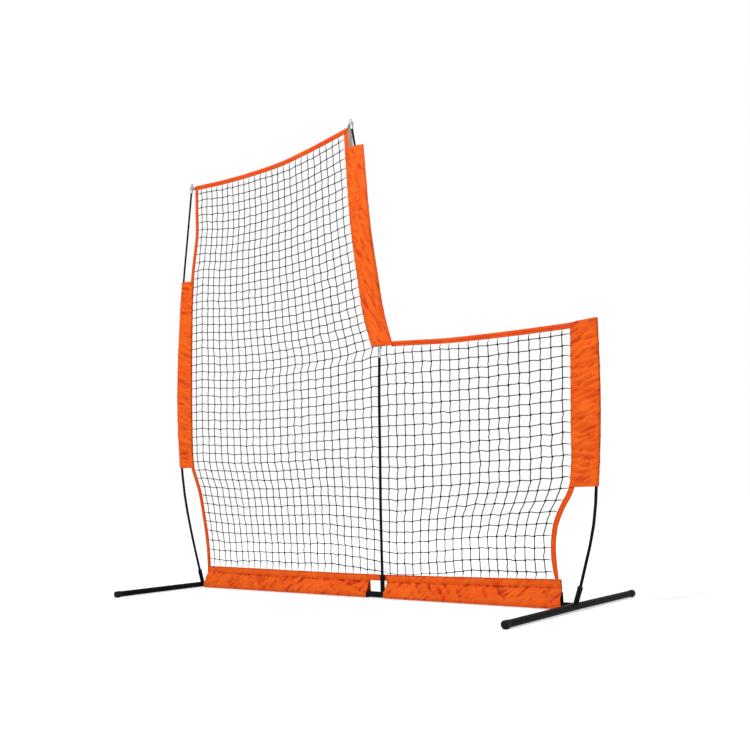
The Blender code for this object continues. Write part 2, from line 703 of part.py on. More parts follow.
def top_band_ends():
    left = LEFT_FOOT_X - LEFT_POLE_BOW * LEFT_BAND_SHARES[-1][1] - LEFT_BAND_WIDTH / 2
    right = CENTRE_X - CENTRE_POLE_LEAN * CENTRE_BAND_SHARES[-1][1] + CENTRE_BAND_WIDTH / 2
    return left, right


def top_band_z(x):
    """The centre line of the sagging top band."""
    left, right = top_band_ends()
    share = (x - left) / (right - left)
    straight = LEFT_CORNER_HEIGHT + (CENTRE_CORNER_HEIGHT - LEFT_CORNER_HEIGHT) * share
    return straight - TOP_EDGE_SAG * smooth_value(TOP_SAG_SHARES, share) - TOP_BAND_WIDTH / 2


def notch_band_ends():
    left = centre_sleeve_edges(CENTRE_SLEEVE_LOW)[1] + CENTRE_SEAM_GAP
    right = RIGHT_POLE.x(RIGHT_POLE.height) + SLEEVE_POLE_ROOM
    return left, right


def notch_band_z(x):
    """The centre line of the band along the notch."""
    left = CENTRE_X
    right = RIGHT_POLE.x(RIGHT_POLE.height)
    share = (x - left) / (right - left)
    return NOTCH_HEIGHT - NOTCH_FALL * smooth_value(NOTCH_FALL_SHARES, share) - NOTCH_BAND_WIDTH / 2


def centre_sleeve_edges(z):
    """The inner and outer X of the centre sleeve at a height."""
    share = (z - CENTRE_SLEEVE_LOW) / (CENTRE_SLEEVE_HIGH - CENTRE_SLEEVE_LOW)
    width = CENTRE_SLEEVE_BOTTOM_WIDTH + (CENTRE_SLEEVE_TOP_WIDTH - CENTRE_SLEEVE_BOTTOM_WIDTH) * share
    inner = centre_band_x(z) + CENTRE_BAND_WIDTH / 2 + CENTRE_SEAM_GAP
    return inner, inner + width


def add_ribbon(name, centre_points, width, thickness, y, upright, finish="orange_nylon"):
    """A flat strip of fabric in the screen's plane along (x, z) points, with level or upright ends."""
    work = bmesh.new()
    rows = []
    last = len(centre_points) - 1
    for number, (x, z) in enumerate(centre_points):
        before = centre_points[max(number - 1, 0)]
        after = centre_points[min(number + 1, last)]
        run = Vector((after[0] - before[0], after[1] - before[1])).normalized()
        if upright:
            side = Vector((width / 2 / abs(run.y), 0))
        else:
            side = Vector((0, -width / 2 / abs(run.x)))
        near = work.verts.new((x - side.x, y, z - side.y))
        far = work.verts.new((x + side.x, y, z + side.y))
        rows.append((near, far))
    for (a, b), (c, d) in zip(rows, rows[1:]):
        work.faces.new((a, c, d, b))
    ribbon = add_part(name, mesh_from(name, work), finish)
    solidify(ribbon, thickness, 0)
    return ribbon


def spread(low, high, count):
    return [low + (high - low) * number / (count - 1) for number in range(count)]


def add_upright_band(name, band_x, low, high, width, count):
    points = [(band_x(z), z) for z in spread(low, high, count)]
    add_ribbon(name, points, width, BAND_THICKNESS, BAND_Y, True)


def add_level_band(name, band_z, start, end, width, count):
    points = [(x, band_z(x)) for x in spread(start, end, count)]
    add_ribbon(name, points, width, BAND_THICKNESS, BAND_Y, False)


def add_bands():
    """The sewn edge bands round the two nets."""
    left, right = top_band_ends()
    add_level_band("top_band", top_band_z, left, right, TOP_BAND_WIDTH, 15)
    drop = TOP_BAND_WIDTH / 2 + BAND_GAP * 2
    left_top = min(top_band_z(left), top_band_z(left + LEFT_BAND_WIDTH)) - drop
    centre_top = min(top_band_z(right), top_band_z(right - CENTRE_BAND_WIDTH)) - drop
    left_low = hem_top(left_band_x(HEM_TOP_LEFT)) + BAND_GAP
    add_upright_band("left_band", left_band_x, left_low, left_top, LEFT_BAND_WIDTH, 33)
    add_upright_band("centre_band", centre_band_x, CENTRE_SLEEVE_LOW, centre_top, CENTRE_BAND_WIDTH, 17)
    start, end = notch_band_ends()
    add_level_band("notch_band", notch_band_z, start, end, NOTCH_BAND_WIDTH, 13)
    right_top = notch_band_z(RIGHT_FOOT_X) - NOTCH_BAND_WIDTH / 2 - BAND_GAP * 2
    right_low = hem_top(right_band_x(HEM_TOP_RIGHT)) + BAND_GAP * 2
    add_upright_band("right_band", right_band_x, right_low, right_top, RIGHT_BAND_WIDTH, 25)
    add_level_band("hem_band", lambda x: hem_top(x) - HEM_BAND_WIDTH / 2, HEM_LEFT_X, HEM_RIGHT_X,
                   HEM_BAND_WIDTH, 15)


# Sleeves that hold the net's edges to the poles


def belt(circles, count):
    """The outline of a belt pulled round circles given as (x, y, radius), point by point."""
    outline = []
    for number in range(count):
        angle = 2 * math.pi * (number + 0.5) / count
        push = Vector((math.cos(angle), math.sin(angle)))
        x, y, radius = max(circles, key=lambda circle: circle[0] * push.x + circle[1] * push.y + circle[2])
        outline.append((x + push.x * radius, y + push.y * radius))
    return outline


def add_sleeve(name, heights, circles_at, foot_drop=0, closed_top=False):
    """A fabric sleeve lofted through belts round the pole and the seam; foot_drop slants its lower hem."""
    work = bmesh.new()
    rings = []
    for number, z in enumerate(heights):
        circles = circles_at(z)
        low_x = min(circle[0] for circle in circles)
        slope = foot_drop / (max(circle[0] for circle in circles) - low_x) if number == 0 else 0
        ring = [work.verts.new((x, y, z - slope * (x - low_x))) for x, y in belt(circles, SLEEVE_SIDES)]
        rings.append(ring)
    for lower, upper in zip(rings, rings[1:]):
        for number in range(SLEEVE_SIDES):
            after = (number + 1) % SLEEVE_SIDES
            work.faces.new((lower[number], lower[after], upper[after], upper[number]))
    if closed_top:
        work.faces.new(rings[-1])
    sleeve = add_part(name, mesh_from(name, work), "orange_nylon")
    solidify(sleeve, FABRIC_THICKNESS, 0)
    return sleeve


def side_circles(pole, band_x, band_width):
    """Seam and pole circles of a side sleeve, as a function of height."""
    def circles_at(z):
        room = SLEEVE_SEAM_RADIUS + FABRIC_THICKNESS / 2 + SIDE_SEAM_GAP
        seam = band_x(z) + pole.side * (band_width / 2 + room)
        return [(seam, BAND_Y, SLEEVE_SEAM_RADIUS), (pole.x(z), 0, SLEEVE_POLE_ROOM)]
    return circles_at


def centre_circles(z):
    inner, outer = centre_sleeve_edges(z)
    room = SLEEVE_SEAM_RADIUS + FABRIC_THICKNESS / 2
    return [
        (inner + room, BAND_Y, SLEEVE_SEAM_RADIUS),
        (CENTRE_POLE.x(z), 0, SLEEVE_POLE_ROOM),
        (outer - room, CENTRE_SLEEVE_EDGE_Y, SLEEVE_SEAM_RADIUS),
    ]


def add_sleeves():
    reach = LEFT_SLEEVE_HIGH - LEFT_SLEEVE_LOW
    left_heights = [LEFT_SLEEVE_LOW + reach * share for share in LEFT_SLEEVE_RING_SHARES]
    add_sleeve("left_sleeve", left_heights, side_circles(LEFT_POLE, left_band_x, LEFT_BAND_WIDTH))
    right_high = notch_band_z(RIGHT_FOOT_X) - NOTCH_BAND_WIDTH / 2 - BAND_GAP * 3
    add_sleeve("right_sleeve", spread(RIGHT_SLEEVE_LOW, right_high, 15),
               side_circles(RIGHT_POLE, right_band_x, RIGHT_BAND_WIDTH))
    add_sleeve("centre_sleeve", spread(CENTRE_SLEEVE_LOW, CENTRE_SLEEVE_HIGH, 13), centre_circles,
               CENTRE_SLEEVE_FOOT_DROP)


# Skirt round the ground rail


def skirt_y(share_y, fold_share, x, z):
    """Depth of the skirt's cloth, with folds that slant down to the right."""
    phase = 2 * math.pi * (x + SKIRT_FOLD_SLANT * z) / SKIRT_FOLD_PITCH
    ripple = 0.6 * math.sin(phase) + 0.4 * math.sin(phase * 0.47 + 1)
    return share_y * SKIRT_REACH + SKIRT_FOLD_DEPTH * fold_share * ripple


def add_skirt(name, start_x, end_x, columns):
    """A length of cloth that hangs from the hem band, passes under the rail and comes up behind it."""
    work = bmesh.new()
    rows = []
    for x in spread(start_x, end_x, columns):
        top = hem_top(x) - HEM_BAND_WIDTH - BAND_GAP - FABRIC_THICKNESS / 2
        row = []
        for (share_y, share_z), fold_share in zip(SKIRT_SECTION_SHARES, SKIRT_FOLD_SHARES):
            z = SKIRT_BOTTOM + (top - SKIRT_BOTTOM) * share_z
            row.append(work.verts.new((x, skirt_y(share_y, fold_share, x, z), z)))
        rows.append(row)
    for row, after in zip(rows, rows[1:]):
        for number in range(len(row) - 1):
            work.faces.new((row[number], row[number + 1], after[number + 1], after[number]))
    skirt = add_part(name, mesh_from(name, work), "orange_nylon")
    solidify(skirt, FABRIC_THICKNESS, 0)


def add_hook_strip(name, start_x, end_x):
    """The hook tape between the hem and the skirt's rear flap."""
    centre = []
    for x in spread(start_x, end_x, 8):
        centre.append((x, hem_top(x) - HOOK_STRIP_INSET - HOOK_STRIP_HEIGHT / 2))
    add_ribbon(name, centre, HOOK_STRIP_HEIGHT, HOOK_STRIP_THICKNESS, HOOK_STRIP_Y, False, "hook_tape")


def add_skirts():
    window_left = CENTRE_X - WINDOW_LEFT_OF_POLE
    window_right = CENTRE_X + WINDOW_RIGHT_OF_POLE
    add_skirt("left_skirt", HEM_LEFT_X, window_left, 26)
    add_skirt("right_skirt", window_right, HEM_RIGHT_X, 22)
    add_hook_strip("left_hook_strip", HEM_LEFT_X, window_left)
    add_hook_strip("right_hook_strip", window_right, HEM_RIGHT_X)


# Straps at the top corners


def add_corner_strap(name, pole, band_edge_x):
    """A webbing loop from the net's corner round the pole's tip."""
    height = pole.height - TIP_CAP_HEIGHT - TIP_OVERHANG - STRAP_HEIGHT / 2
    tip = pole.point(height)
    inward = 1 if band_edge_x > tip.x else -1
    loop = TIP_DIAMETER / 2 + CLEARANCE * 2 + STRAP_THICKNESS / 2
    tail_radius = BAND_THICKNESS / 2
    tail_x = band_edge_x - inward * (tail_radius + STRAP_THICKNESS / 2 + BAND_GAP)
    work = bmesh.new()
    rings = []
    for rise in (-STRAP_HEIGHT / 2, STRAP_HEIGHT / 2):
        centre = pole.point(height + rise)
        circles = [(centre.x, 0, loop), (tail_x, BAND_Y, tail_radius)]
        rings.append([work.verts.new((x, y, height + rise)) for x, y in belt(circles, SLEEVE_SIDES)])
    for number in range(SLEEVE_SIDES):
        after = (number + 1) % SLEEVE_SIDES
        work.faces.new((rings[0][number], rings[0][after], rings[1][after], rings[1][number]))
    strap = add_part(name, mesh_from(name, work), "grey_webbing")
    solidify(strap, STRAP_THICKNESS, 0)


def add_straps():
    left, right = top_band_ends()
    add_corner_strap("left_corner_strap", LEFT_POLE, left)
    add_corner_strap("centre_corner_strap", CENTRE_POLE, right)
    top = CENTRE_POLE.height - TIP_CAP_HEIGHT - TIP_OVERHANG - STRAP_HEIGHT - BAND_GAP * 2
    low = top - EDGE_STRAP_LENGTH
    offset = CENTRE_BAND_WIDTH / 2 + BAND_GAP + EDGE_STRAP_WIDTH / 2
    points = [(centre_band_x(z) + offset, z) for z in spread(low, top, 4)]
    add_ribbon("centre_edge_strap", points, EDGE_STRAP_WIDTH, STRAP_THICKNESS, BAND_Y, True, "grey_webbing")


# Nets


def between(edge, share):
    """The point at a share of the way along a line of (x, z) points."""
    at = share * (len(edge) - 1)
    number = min(int(at), len(edge) - 2)
    part = at - number
    start = Vector(edge[number])
    return start + (Vector(edge[number + 1]) - start) * part


def add_net(name, left, right, low, high, columns, rows):
    """A lattice of twine stretched between four edge lines, each running left to right or upwards."""
    work = bmesh.new()
    bmesh.ops.create_grid(work, x_segments=columns, y_segments=rows, size=0.5)
    for vertex in work.verts:
        u = vertex.co.x + 0.5
        v = vertex.co.y + 0.5
        across = between(left, v) * (1 - u) + between(right, v) * u
        up = between(low, u) * (1 - v) + between(high, u) * v
        corners = (Vector(low[0]) * (1 - u) + Vector(low[-1]) * u) * (1 - v)
        corners += (Vector(high[0]) * (1 - u) + Vector(high[-1]) * u) * v
        place = across + up - corners
        vertex.co = (place.x, NET_Y, place.y)
    work.normal_update()
    cells = list(work.faces)
    bmesh.ops.inset_individual(work, faces=cells, thickness=TWINE / 2, use_even_offset=True)
    bmesh.ops.delete(work, geom=cells, context="FACES")
    net = add_part(name, mesh_from(name, work), "net_twine")
    solidify(net, TWINE, 0)


def add_nets():
    """The net's two halves, each lapped behind its bands and parted along the centre pole."""
    top_corners = top_band_ends()
    foot_z = CENTRE_SLEEVE_LOW - BAND_GAP * 3
    foot_x = centre_band_x(CENTRE_SLEEVE_LOW)
    hem_lap = HEM_BAND_WIDTH / 2

    def join_x(z):
        return CENTRE_X + (foot_x - CENTRE_X) * (z - HEM_TOP_CENTRE) / (foot_z - HEM_TOP_CENTRE)

    def low_z(x):
        return hem_top(x) - hem_lap

    def top_z(x):
        return top_band_z(x)

    left_x = left_band_x(HEM_TOP_LEFT)
    left_top = top_corners[0] + LEFT_BAND_WIDTH / 2
    right_top = top_corners[1] - CENTRE_BAND_WIDTH / 2
    left_edge = [(left_band_x(z), z) for z in spread(low_z(left_x), top_z(left_top), TALL_NET_ROWS + 1)]
    half = TALL_NET_ROWS // 2 + 1
    start_x = join_x(HEM_TOP_CENTRE)
    right_edge = [(join_x(z) - BAND_GAP, z) for z in spread(low_z(start_x), foot_z, half)]
    right_edge += [(centre_band_x(z), z) for z in spread(foot_z, top_z(right_top), half)[1:]]
    low_edge = [(x, low_z(x)) for x in spread(left_edge[0][0], right_edge[0][0], TALL_NET_COLUMNS + 1)]
    high_edge = [(x, top_z(x)) for x in spread(left_edge[-1][0], right_edge[-1][0], TALL_NET_COLUMNS + 1)]
    add_net("tall_net", left_edge, right_edge, low_edge, high_edge, TALL_NET_COLUMNS, TALL_NET_ROWS)

    def notch_z(x):
        return notch_band_z(x) - NOTCH_BAND_WIDTH / 2 + NET_LAP

    left_side = [(join_x(z) + BAND_GAP, z) for z in spread(low_z(start_x), foot_z, LOW_NET_ROWS + 1)]
    right_x = right_band_x(HEM_TOP_RIGHT)
    right_high = notch_z(right_band_x(notch_band_z(RIGHT_FOOT_X)))
    right_side = [(right_band_x(z), z) for z in spread(low_z(right_x), right_high, LOW_NET_ROWS + 1)]
    low_side = [(x, low_z(x)) for x in spread(left_side[0][0], right_side[0][0], LOW_NET_COLUMNS + 1)]
    high_side = [(x, notch_z(x)) for x in spread(left_side[-1][0], right_side[-1][0], LOW_NET_COLUMNS + 1)]
    high_side[0] = left_side[-1]
    add_net("low_net", left_side, right_side, low_side, high_side, LOW_NET_COLUMNS, LOW_NET_ROWS)


def add_base():
    add_foot("left_foot_tube", LEFT_FOOT_X)
    add_foot("right_foot_tube", RIGHT_FOOT_X)
    for side_name, x in (("left", LEFT_FOOT_X), ("right", RIGHT_FOOT_X)):
        add_foot_cap(f"{side_name}_front_cap", x, -1)
        add_foot_cap(f"{side_name}_rear_cap", x, 1)
    foot_face = TUBE_RADIUS + CLEARANCE * 2
    left_start = LEFT_FOOT_X + foot_face
    right_end = RIGHT_FOOT_X - foot_face
    left_button = left_start + FOOT_BUTTON_FROM_TUBE
    right_button = right_end - FOOT_BUTTON_FROM_TUBE
    centre_button = RAIL_SEAM_X - CENTRE_BUTTON_FROM_SEAM
    add_rail("left_rail", left_start, RAIL_SEAM_X - CLEARANCE / 2, [left_button, centre_button])
    add_rail("right_rail", RAIL_SEAM_X + CLEARANCE / 2, right_end, [right_button])
    add_spigot("left_spigot", left_start, left_start + SPIGOT_LENGTH, left_button)
    add_spigot("right_spigot", right_end - SPIGOT_LENGTH, right_end, right_button)
    middle = RAIL_SEAM_X
    add_spigot("centre_spigot", middle - CENTRE_SPIGOT_LENGTH / 2, middle + CENTRE_SPIGOT_LENGTH / 2,
               centre_button)
    for name, x, side in (
        ("left", left_button, 1), ("centre", centre_button, 1), ("right", right_button, -1)
    ):
        add_button(f"{name}_button", x)
        add_button_spring(f"{name}_button_spring", x, side)


def add_poles():
    add_socket("left_socket", LEFT_POLE, SIDE_SOCKET_LENGTH, (0, 1, 0))
    add_socket("centre_socket", CENTRE_POLE, CENTRE_SOCKET_LENGTH, (1, 0, 0))
    add_socket("right_socket", RIGHT_POLE, SIDE_SOCKET_LENGTH, (0, 1, 0))
    for name, pole in (("left", LEFT_POLE), ("centre", CENTRE_POLE), ("right", RIGHT_POLE)):
        add_collar(f"{name}_collar", pole)
    for name, pole in (("left", LEFT_POLE), ("centre", CENTRE_POLE)):
        rise = spread(pole.straight_top.z, FERRULE_LOW, 11)
        lower = [pole_seat(pole)] + rise + LOWER_FERRULE_HEIGHTS[1:-1]
        lower.append(FERRULE_MIDDLE_HEIGHT - POLE_END_GAP)
        upper = [FERRULE_STEP_TOP + POLE_END_GAP] + UPPER_FERRULE_HEIGHTS[1:-1]
        upper += spread(FERRULE_HIGH, tip_foot(pole), 12) + [pole_top(pole)]
        add_pole_section(f"{name}_pole_lower", pole, lower, LOWER_POLE_DIAMETER)
        add_pole_section(f"{name}_pole_upper", pole, upper, UPPER_POLE_DIAMETER)
        add_ferrule(f"{name}_ferrule", pole)
        add_tip(f"{name}_tip", pole, UPPER_POLE_DIAMETER)
        add_tip_cap(f"{name}_tip_cap", pole, UPPER_POLE_DIAMETER)
    single = [pole_seat(RIGHT_POLE)] + spread(RIGHT_POLE.straight_top.z, tip_foot(RIGHT_POLE), 13)
    add_pole_section("right_pole", RIGHT_POLE, single + [pole_top(RIGHT_POLE)], LOWER_POLE_DIAMETER)
    add_tip("right_tip", RIGHT_POLE, LOWER_POLE_DIAMETER)
    add_tip_cap("right_tip_cap", RIGHT_POLE, LOWER_POLE_DIAMETER)


def centre_on_ground():
    """Move everything so that the origin lies midway between the outermost points."""
    bpy.context.view_layer.update()
    graph = bpy.context.evaluated_depsgraph_get()
    places = []
    for part in PARTS.objects:
        seen = part.evaluated_get(graph)
        mesh = seen.to_mesh()
        places += [(seen.matrix_world @ vertex.co).x for vertex in mesh.vertices]
        seen.to_mesh_clear()
    GROUND_CENTRE.location.x = -(min(places) + max(places)) / 2
    bpy.context.view_layer.update()


add_base()
add_poles()
add_bands()
add_sleeves()
add_skirts()
add_straps()
add_nets()
centre_on_ground()
print(f"{len(PARTS.objects)} sub-parts, shifted {GROUND_CENTRE.location.x:.4f}")
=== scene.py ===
# %% [markdown]
# # A portable L screen for baseball practice
#
# A net hangs between thin bowed poles on a low steel base. A pitcher stands behind the tall half
# and throws over the low half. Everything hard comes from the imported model: the feet, rails,
# sockets, poles and tips. Everything sewn or knotted is made here, in the place that the model's
# plain solids hold.
#
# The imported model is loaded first. Its nodes are never moved. They say where the sewn pieces go.

import math
from collections import namedtuple

import bmesh
import bpy
import numpy as np
from mathutils import Matrix, Vector, noise


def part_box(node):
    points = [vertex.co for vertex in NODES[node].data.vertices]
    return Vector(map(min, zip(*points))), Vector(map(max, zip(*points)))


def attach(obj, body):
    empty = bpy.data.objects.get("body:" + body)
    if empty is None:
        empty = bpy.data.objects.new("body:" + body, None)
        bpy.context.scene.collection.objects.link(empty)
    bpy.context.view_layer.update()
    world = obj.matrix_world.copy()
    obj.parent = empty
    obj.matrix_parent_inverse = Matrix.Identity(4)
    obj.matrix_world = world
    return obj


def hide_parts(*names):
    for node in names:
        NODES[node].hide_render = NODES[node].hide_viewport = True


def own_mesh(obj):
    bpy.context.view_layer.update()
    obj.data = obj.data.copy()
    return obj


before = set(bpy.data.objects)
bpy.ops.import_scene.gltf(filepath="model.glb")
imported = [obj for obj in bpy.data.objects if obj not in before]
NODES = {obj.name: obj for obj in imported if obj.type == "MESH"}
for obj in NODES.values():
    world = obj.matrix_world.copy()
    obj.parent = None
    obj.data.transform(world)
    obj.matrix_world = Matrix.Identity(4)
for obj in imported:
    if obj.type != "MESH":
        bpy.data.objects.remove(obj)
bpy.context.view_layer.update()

# %% [markdown]
# ## The camera
#
# The screen is seen from the right, from a little below its middle. The camera's place and turn
# were worked out from the straight feet, the poles and the net's corners. The turn is built from
# three directions, which shows plainly where the camera looks: yaw first, then pitch, then a
# small roll about the line of sight.

# %% Camera
CAMERA_PLACE = Vector((2.5296, -3.0353, 0.4217))
CAMERA_YAW = math.radians(38.1785)
CAMERA_PITCH = math.radians(7.8837)
CAMERA_ROLL = math.radians(-1.39487)
CAMERA_LENS = 42.694
CAMERA_SENSOR = 36


def new_object(name, data):
    """An object in the scene that holds the data."""
    made = bpy.data.objects.new(name, data)
    bpy.context.scene.collection.objects.link(made)
    return made


def make_camera():
    """The camera at the photograph's place."""
    level = Vector((math.cos(CAMERA_YAW), math.sin(CAMERA_YAW), 0))
    sight = Vector((
        -math.sin(CAMERA_YAW) * math.cos(CAMERA_PITCH),
        math.cos(CAMERA_YAW) * math.cos(CAMERA_PITCH),
        math.sin(CAMERA_PITCH),
    ))
    upright = level.cross(sight)
    right = level * math.cos(CAMERA_ROLL) + upright * math.sin(CAMERA_ROLL)
    up = upright * math.cos(CAMERA_ROLL) - level * math.sin(CAMERA_ROLL)
    camera = new_object("camera", bpy.data.cameras.new("camera"))
    camera.data.lens = CAMERA_LENS
    camera.data.sensor_width = CAMERA_SENSOR
    turn = Matrix((right, up, -sight)).transposed().to_4x4()
    camera.matrix_world = Matrix.Translation(CAMERA_PLACE) @ turn
    bpy.context.scene.camera = camera


make_camera()
bpy.context.scene.view_settings.view_transform = "Standard"
print("camera at", tuple(round(value, 3) for value in CAMERA_PLACE))

# %% [markdown]
# ## Shader helpers
#
# The floor, the surround and every finish are small trees of nodes. Each helper adds one node and
# gives back its output, so that a tree reads like a formula. Constant values stay on the shader's
# own sockets.

# %% Shader helpers
def add_node(tree, kind, inputs=(), **settings):
    """A new node with its settings and some of its inputs filled or linked."""
    node = tree.nodes.new(kind)
    for key, value in settings.items():
        setattr(node, key, value)
    for key, value in inputs:
        if isinstance(value, bpy.types.NodeSocket):
            tree.links.new(value, node.inputs[key])
        else:
            node.inputs[key].default_value = value
    return node


def new_finish(name, colour, roughness, metallic=0.0, shine=0.5):
    """A material, its tree and its one Principled shader; shine is the specular level."""
    made = bpy.data.materials.new(name)
    made.use_nodes = True
    shader = made.node_tree.nodes["Principled BSDF"]
    shader.inputs["Base Color"].default_value = (*colour, 1)
    shader.inputs["Roughness"].default_value = roughness
    shader.inputs["Metallic"].default_value = metallic
    shader.inputs["Specular IOR Level"].default_value = shine
    return made, made.node_tree, shader


def object_place(tree):
    return add_node(tree, "ShaderNodeTexCoord").outputs["Object"]


def between_values(tree, value, low, high):
    made = add_node(tree, "ShaderNodeMapRange", [("Value", value), ("To Min", low), ("To Max", high)])
    return made.outputs["Result"]


def math_node(tree, operation, first, second=0.0):
    return add_node(tree, "ShaderNodeMath", [(0, first), (1, second)], operation=operation).outputs[0]


# %% [markdown]
# ## Floor and light
#
# The studio is plain: a pale floor, an even white surround and soft lamps. The camera and the
# reflections see the surround as pure white, while its light on the object is weaker. The Light
# Path node does that, so that the backdrop is white without burning out the orange cloth. The
# floor adds a little white of its own for the camera, and still shows shadows.

# %% Floor and light
WHITE = (1, 1, 1, 1)
AMBIENT_STRENGTH = 0.40
FLOOR_RADIUS = 60
FLOOR_NEAR, FLOOR_FAR = 1.4, 4.5
FLOOR_GLOW_NEAR, FLOOR_GLOW_FAR = 0.50, 0.70
LAMPS = (  # name, place, target, size, power
    ("key_lamp", (0.4, -3.7, 4.6), (0, 0, 0.9), 1.2, 160),
    ("fill_lamp", (4.2, -2.6, 2.2), (0, 0, 0.8), 2.6, 16),
    ("back_lamp", (-1.5, 4.4, 3.4), (0, 0, 0.9), 2.6, 45),
)


def seen_directly(tree):
    """A socket that is 1 for camera, glossy and transmission rays, and 0 for other rays."""
    path = add_node(tree, "ShaderNodeLightPath").outputs
    seen = math_node(tree, "MAXIMUM", path["Is Camera Ray"], path["Is Glossy Ray"])
    return math_node(tree, "MAXIMUM", seen, path["Is Transmission Ray"])


def light_world():
    """A white surround that lights the object evenly."""
    world = bpy.data.worlds.new("white_surround")
    bpy.context.scene.world = world
    world.use_nodes = True
    tree = world.node_tree
    background = tree.nodes["Background"]
    background.inputs["Color"].default_value = WHITE
    strength = between_values(tree, seen_directly(tree), AMBIENT_STRENGTH, 1.0)
    tree.links.new(strength, background.inputs["Strength"])


def soft_lamp(name, place, target, size, power):
    """A large square lamp at place that points at target."""
    lamp = new_object(name, bpy.data.lights.new(name, "AREA"))
    lamp.data.shape = "SQUARE"
    lamp.data.size = size
    lamp.data.energy = power
    lamp.location = place
    lamp.rotation_euler = (Vector(target) - Vector(place)).to_track_quat("-Z", "Y").to_euler()


def make_floor():
    """A wide pale floor under the screen."""
    work = bmesh.new()
    bmesh.ops.create_circle(work, cap_ends=True, segments=96, radius=FLOOR_RADIUS)
    mesh = bpy.data.meshes.new("floor")
    work.to_mesh(mesh)
    work.free()
    paint, tree, shader = new_finish("pale_floor", (0.82, 0.82, 0.82), 0.9, shine=0.1)
    shader.inputs["Emission Color"].default_value = WHITE
    away = add_node(tree, "ShaderNodeVectorMath", [(0, object_place(tree))], operation="LENGTH")
    rise = add_node(tree, "ShaderNodeMapRange", [
        ("Value", away.outputs["Value"]), ("From Min", FLOOR_NEAR), ("From Max", FLOOR_FAR),
        ("To Min", FLOOR_GLOW_NEAR), ("To Max", FLOOR_GLOW_FAR)])
    glow = math_node(tree, "MULTIPLY", seen_directly(tree), rise.outputs["Result"])
    tree.links.new(glow, shader.inputs["Emission Strength"])
    mesh.materials.append(paint)
    new_object("floor", mesh)


light_world()
make_floor()
for lamp in LAMPS:
    soft_lamp(*lamp)
print("floor and lamps are in place:", len(LAMPS))

# %% [markdown]
# ## Reading places from the model
#
# A sewn piece goes where the model's plain solid is. The solids are ribbons and tubes built from
# rows of points, so one row after another gives the line that a band or sleeve follows. The
# helpers below collect a node's points, split them into rows and fit a smooth line through them.

# %% Helpers that read the model
Band = namedtuple("Band", "line low high width")
LEVEL_BANDS = ("top_band", "notch_band", "hem_band")
UPRIGHT_BANDS = ("left_band", "centre_band", "right_band")


def node_points(name):
    """The different points of a node's mesh."""
    mesh = NODES[name].data
    places = np.empty(len(mesh.vertices) * 3, np.float32)
    mesh.vertices.foreach_get("co", places)
    return np.unique(np.round(places.reshape(-1, 3).astype(float), 6), axis=0)


def rows_of(name, axis, gap=0.004):
    """A node's points split into rows that lie at least gap apart along the axis."""
    points = node_points(name)
    points = points[np.argsort(points[:, axis])]
    return np.split(points, np.nonzero(np.diff(points[:, axis]) > gap)[0] + 1)


def smooth_line(places, values):
    """A function that runs smoothly through the values at the places."""
    places, values = np.asarray(places, float), np.asarray(values, float)
    slopes = np.gradient(values, places)

    def at(where):
        where = np.clip(np.asarray(where, float), places[0], places[-1])
        right = np.clip(np.searchsorted(places, where), 1, len(places) - 1)
        left = right - 1
        width = places[right] - places[left]
        t = (where - places[left]) / width
        start = (1 + 2 * t) * (1 - t) ** 2 * values[left] + t * (1 - t) ** 2 * width * slopes[left]
        end = t * t * (3 - 2 * t) * values[right] + t * t * (t - 1) * width * slopes[right]
        return start + end

    return at


def row_spans(rows, axis):
    """Where each row lies along the axis, and from where to where it goes in the other one."""
    other = 2 - axis
    return np.array([(row[:, axis].mean(), row[:, other].min(), row[:, other].max()) for row in rows]).T


def band_line(name, axis):
    """A band's middle line: the other coordinate as a function of the one along it."""
    along, lows, highs = row_spans(rows_of(name, axis), axis)
    width = (highs - lows)[len(along) // 2]
    return Band(smooth_line(along, (lows + highs) / 2), along[0], along[-1], float(width))


def box_middle(name):
    low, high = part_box(name)
    return (low + high) / 2


MIDDLE_X = (box_middle("left_foot_tube").x + box_middle("right_foot_tube").x) / 2
POLE_X = box_middle("centre_socket").x
NET_Y = box_middle("tall_net").y
BANDS = {name: band_line(name, 2) for name in UPRIGHT_BANDS}
BANDS.update({name: band_line(name, 0) for name in LEVEL_BANDS})
print("net plane at y =", round(NET_Y, 4), "middle of the base at x =", round(MIDDLE_X, 4))

# %% [markdown]
# ## Finishes
#
# A finish is described by its patterns and what each of them drives: the tint between a dark and
# a light shade, the roughness, and a relief. A pattern comes either from the piece's own place in
# the model or, on cloth, from a UV map that holds the flat cut in metres, so that the weave
# follows the folds.

# %% Patterns and the finish that they make
CUT_MAP = "cut"


def grain(tree, scale, detail, roughness=0.55, stretch=None):
    """Noise from 0 to 1, scale in bumps to the metre; stretch draws it out into streaks."""
    place = object_place(tree)
    if stretch:
        place = add_node(tree, "ShaderNodeMapping", [("Vector", place), ("Scale", stretch)]).outputs["Vector"]
    return add_node(tree, "ShaderNodeTexNoise", [
        ("Vector", place), ("Scale", scale), ("Detail", detail), ("Roughness", roughness)]).outputs["Fac"]


def pits(tree, scale):
    """Round cells, scale to the metre."""
    inputs = [("Vector", object_place(tree)), ("Scale", scale)]
    return add_node(tree, "ShaderNodeTexVoronoi", inputs).outputs["Distance"]


def woven(tree, pitch_across, pitch_along):
    """The product of two sine waves along the cut's UV axes, with their pitch in metres."""
    cut = add_node(tree, "ShaderNodeUVMap", uv_map=CUT_MAP).outputs["UV"]
    parts = add_node(tree, "ShaderNodeSeparateXYZ", [("Vector", cut)]).outputs
    waves = [math_node(tree, "SINE", math_node(tree, "MULTIPLY", parts[axis], 2 * math.pi / pitch))
             for axis, pitch in (("X", pitch_across), ("Y", pitch_along))]
    return math_node(tree, "MULTIPLY", *waves)


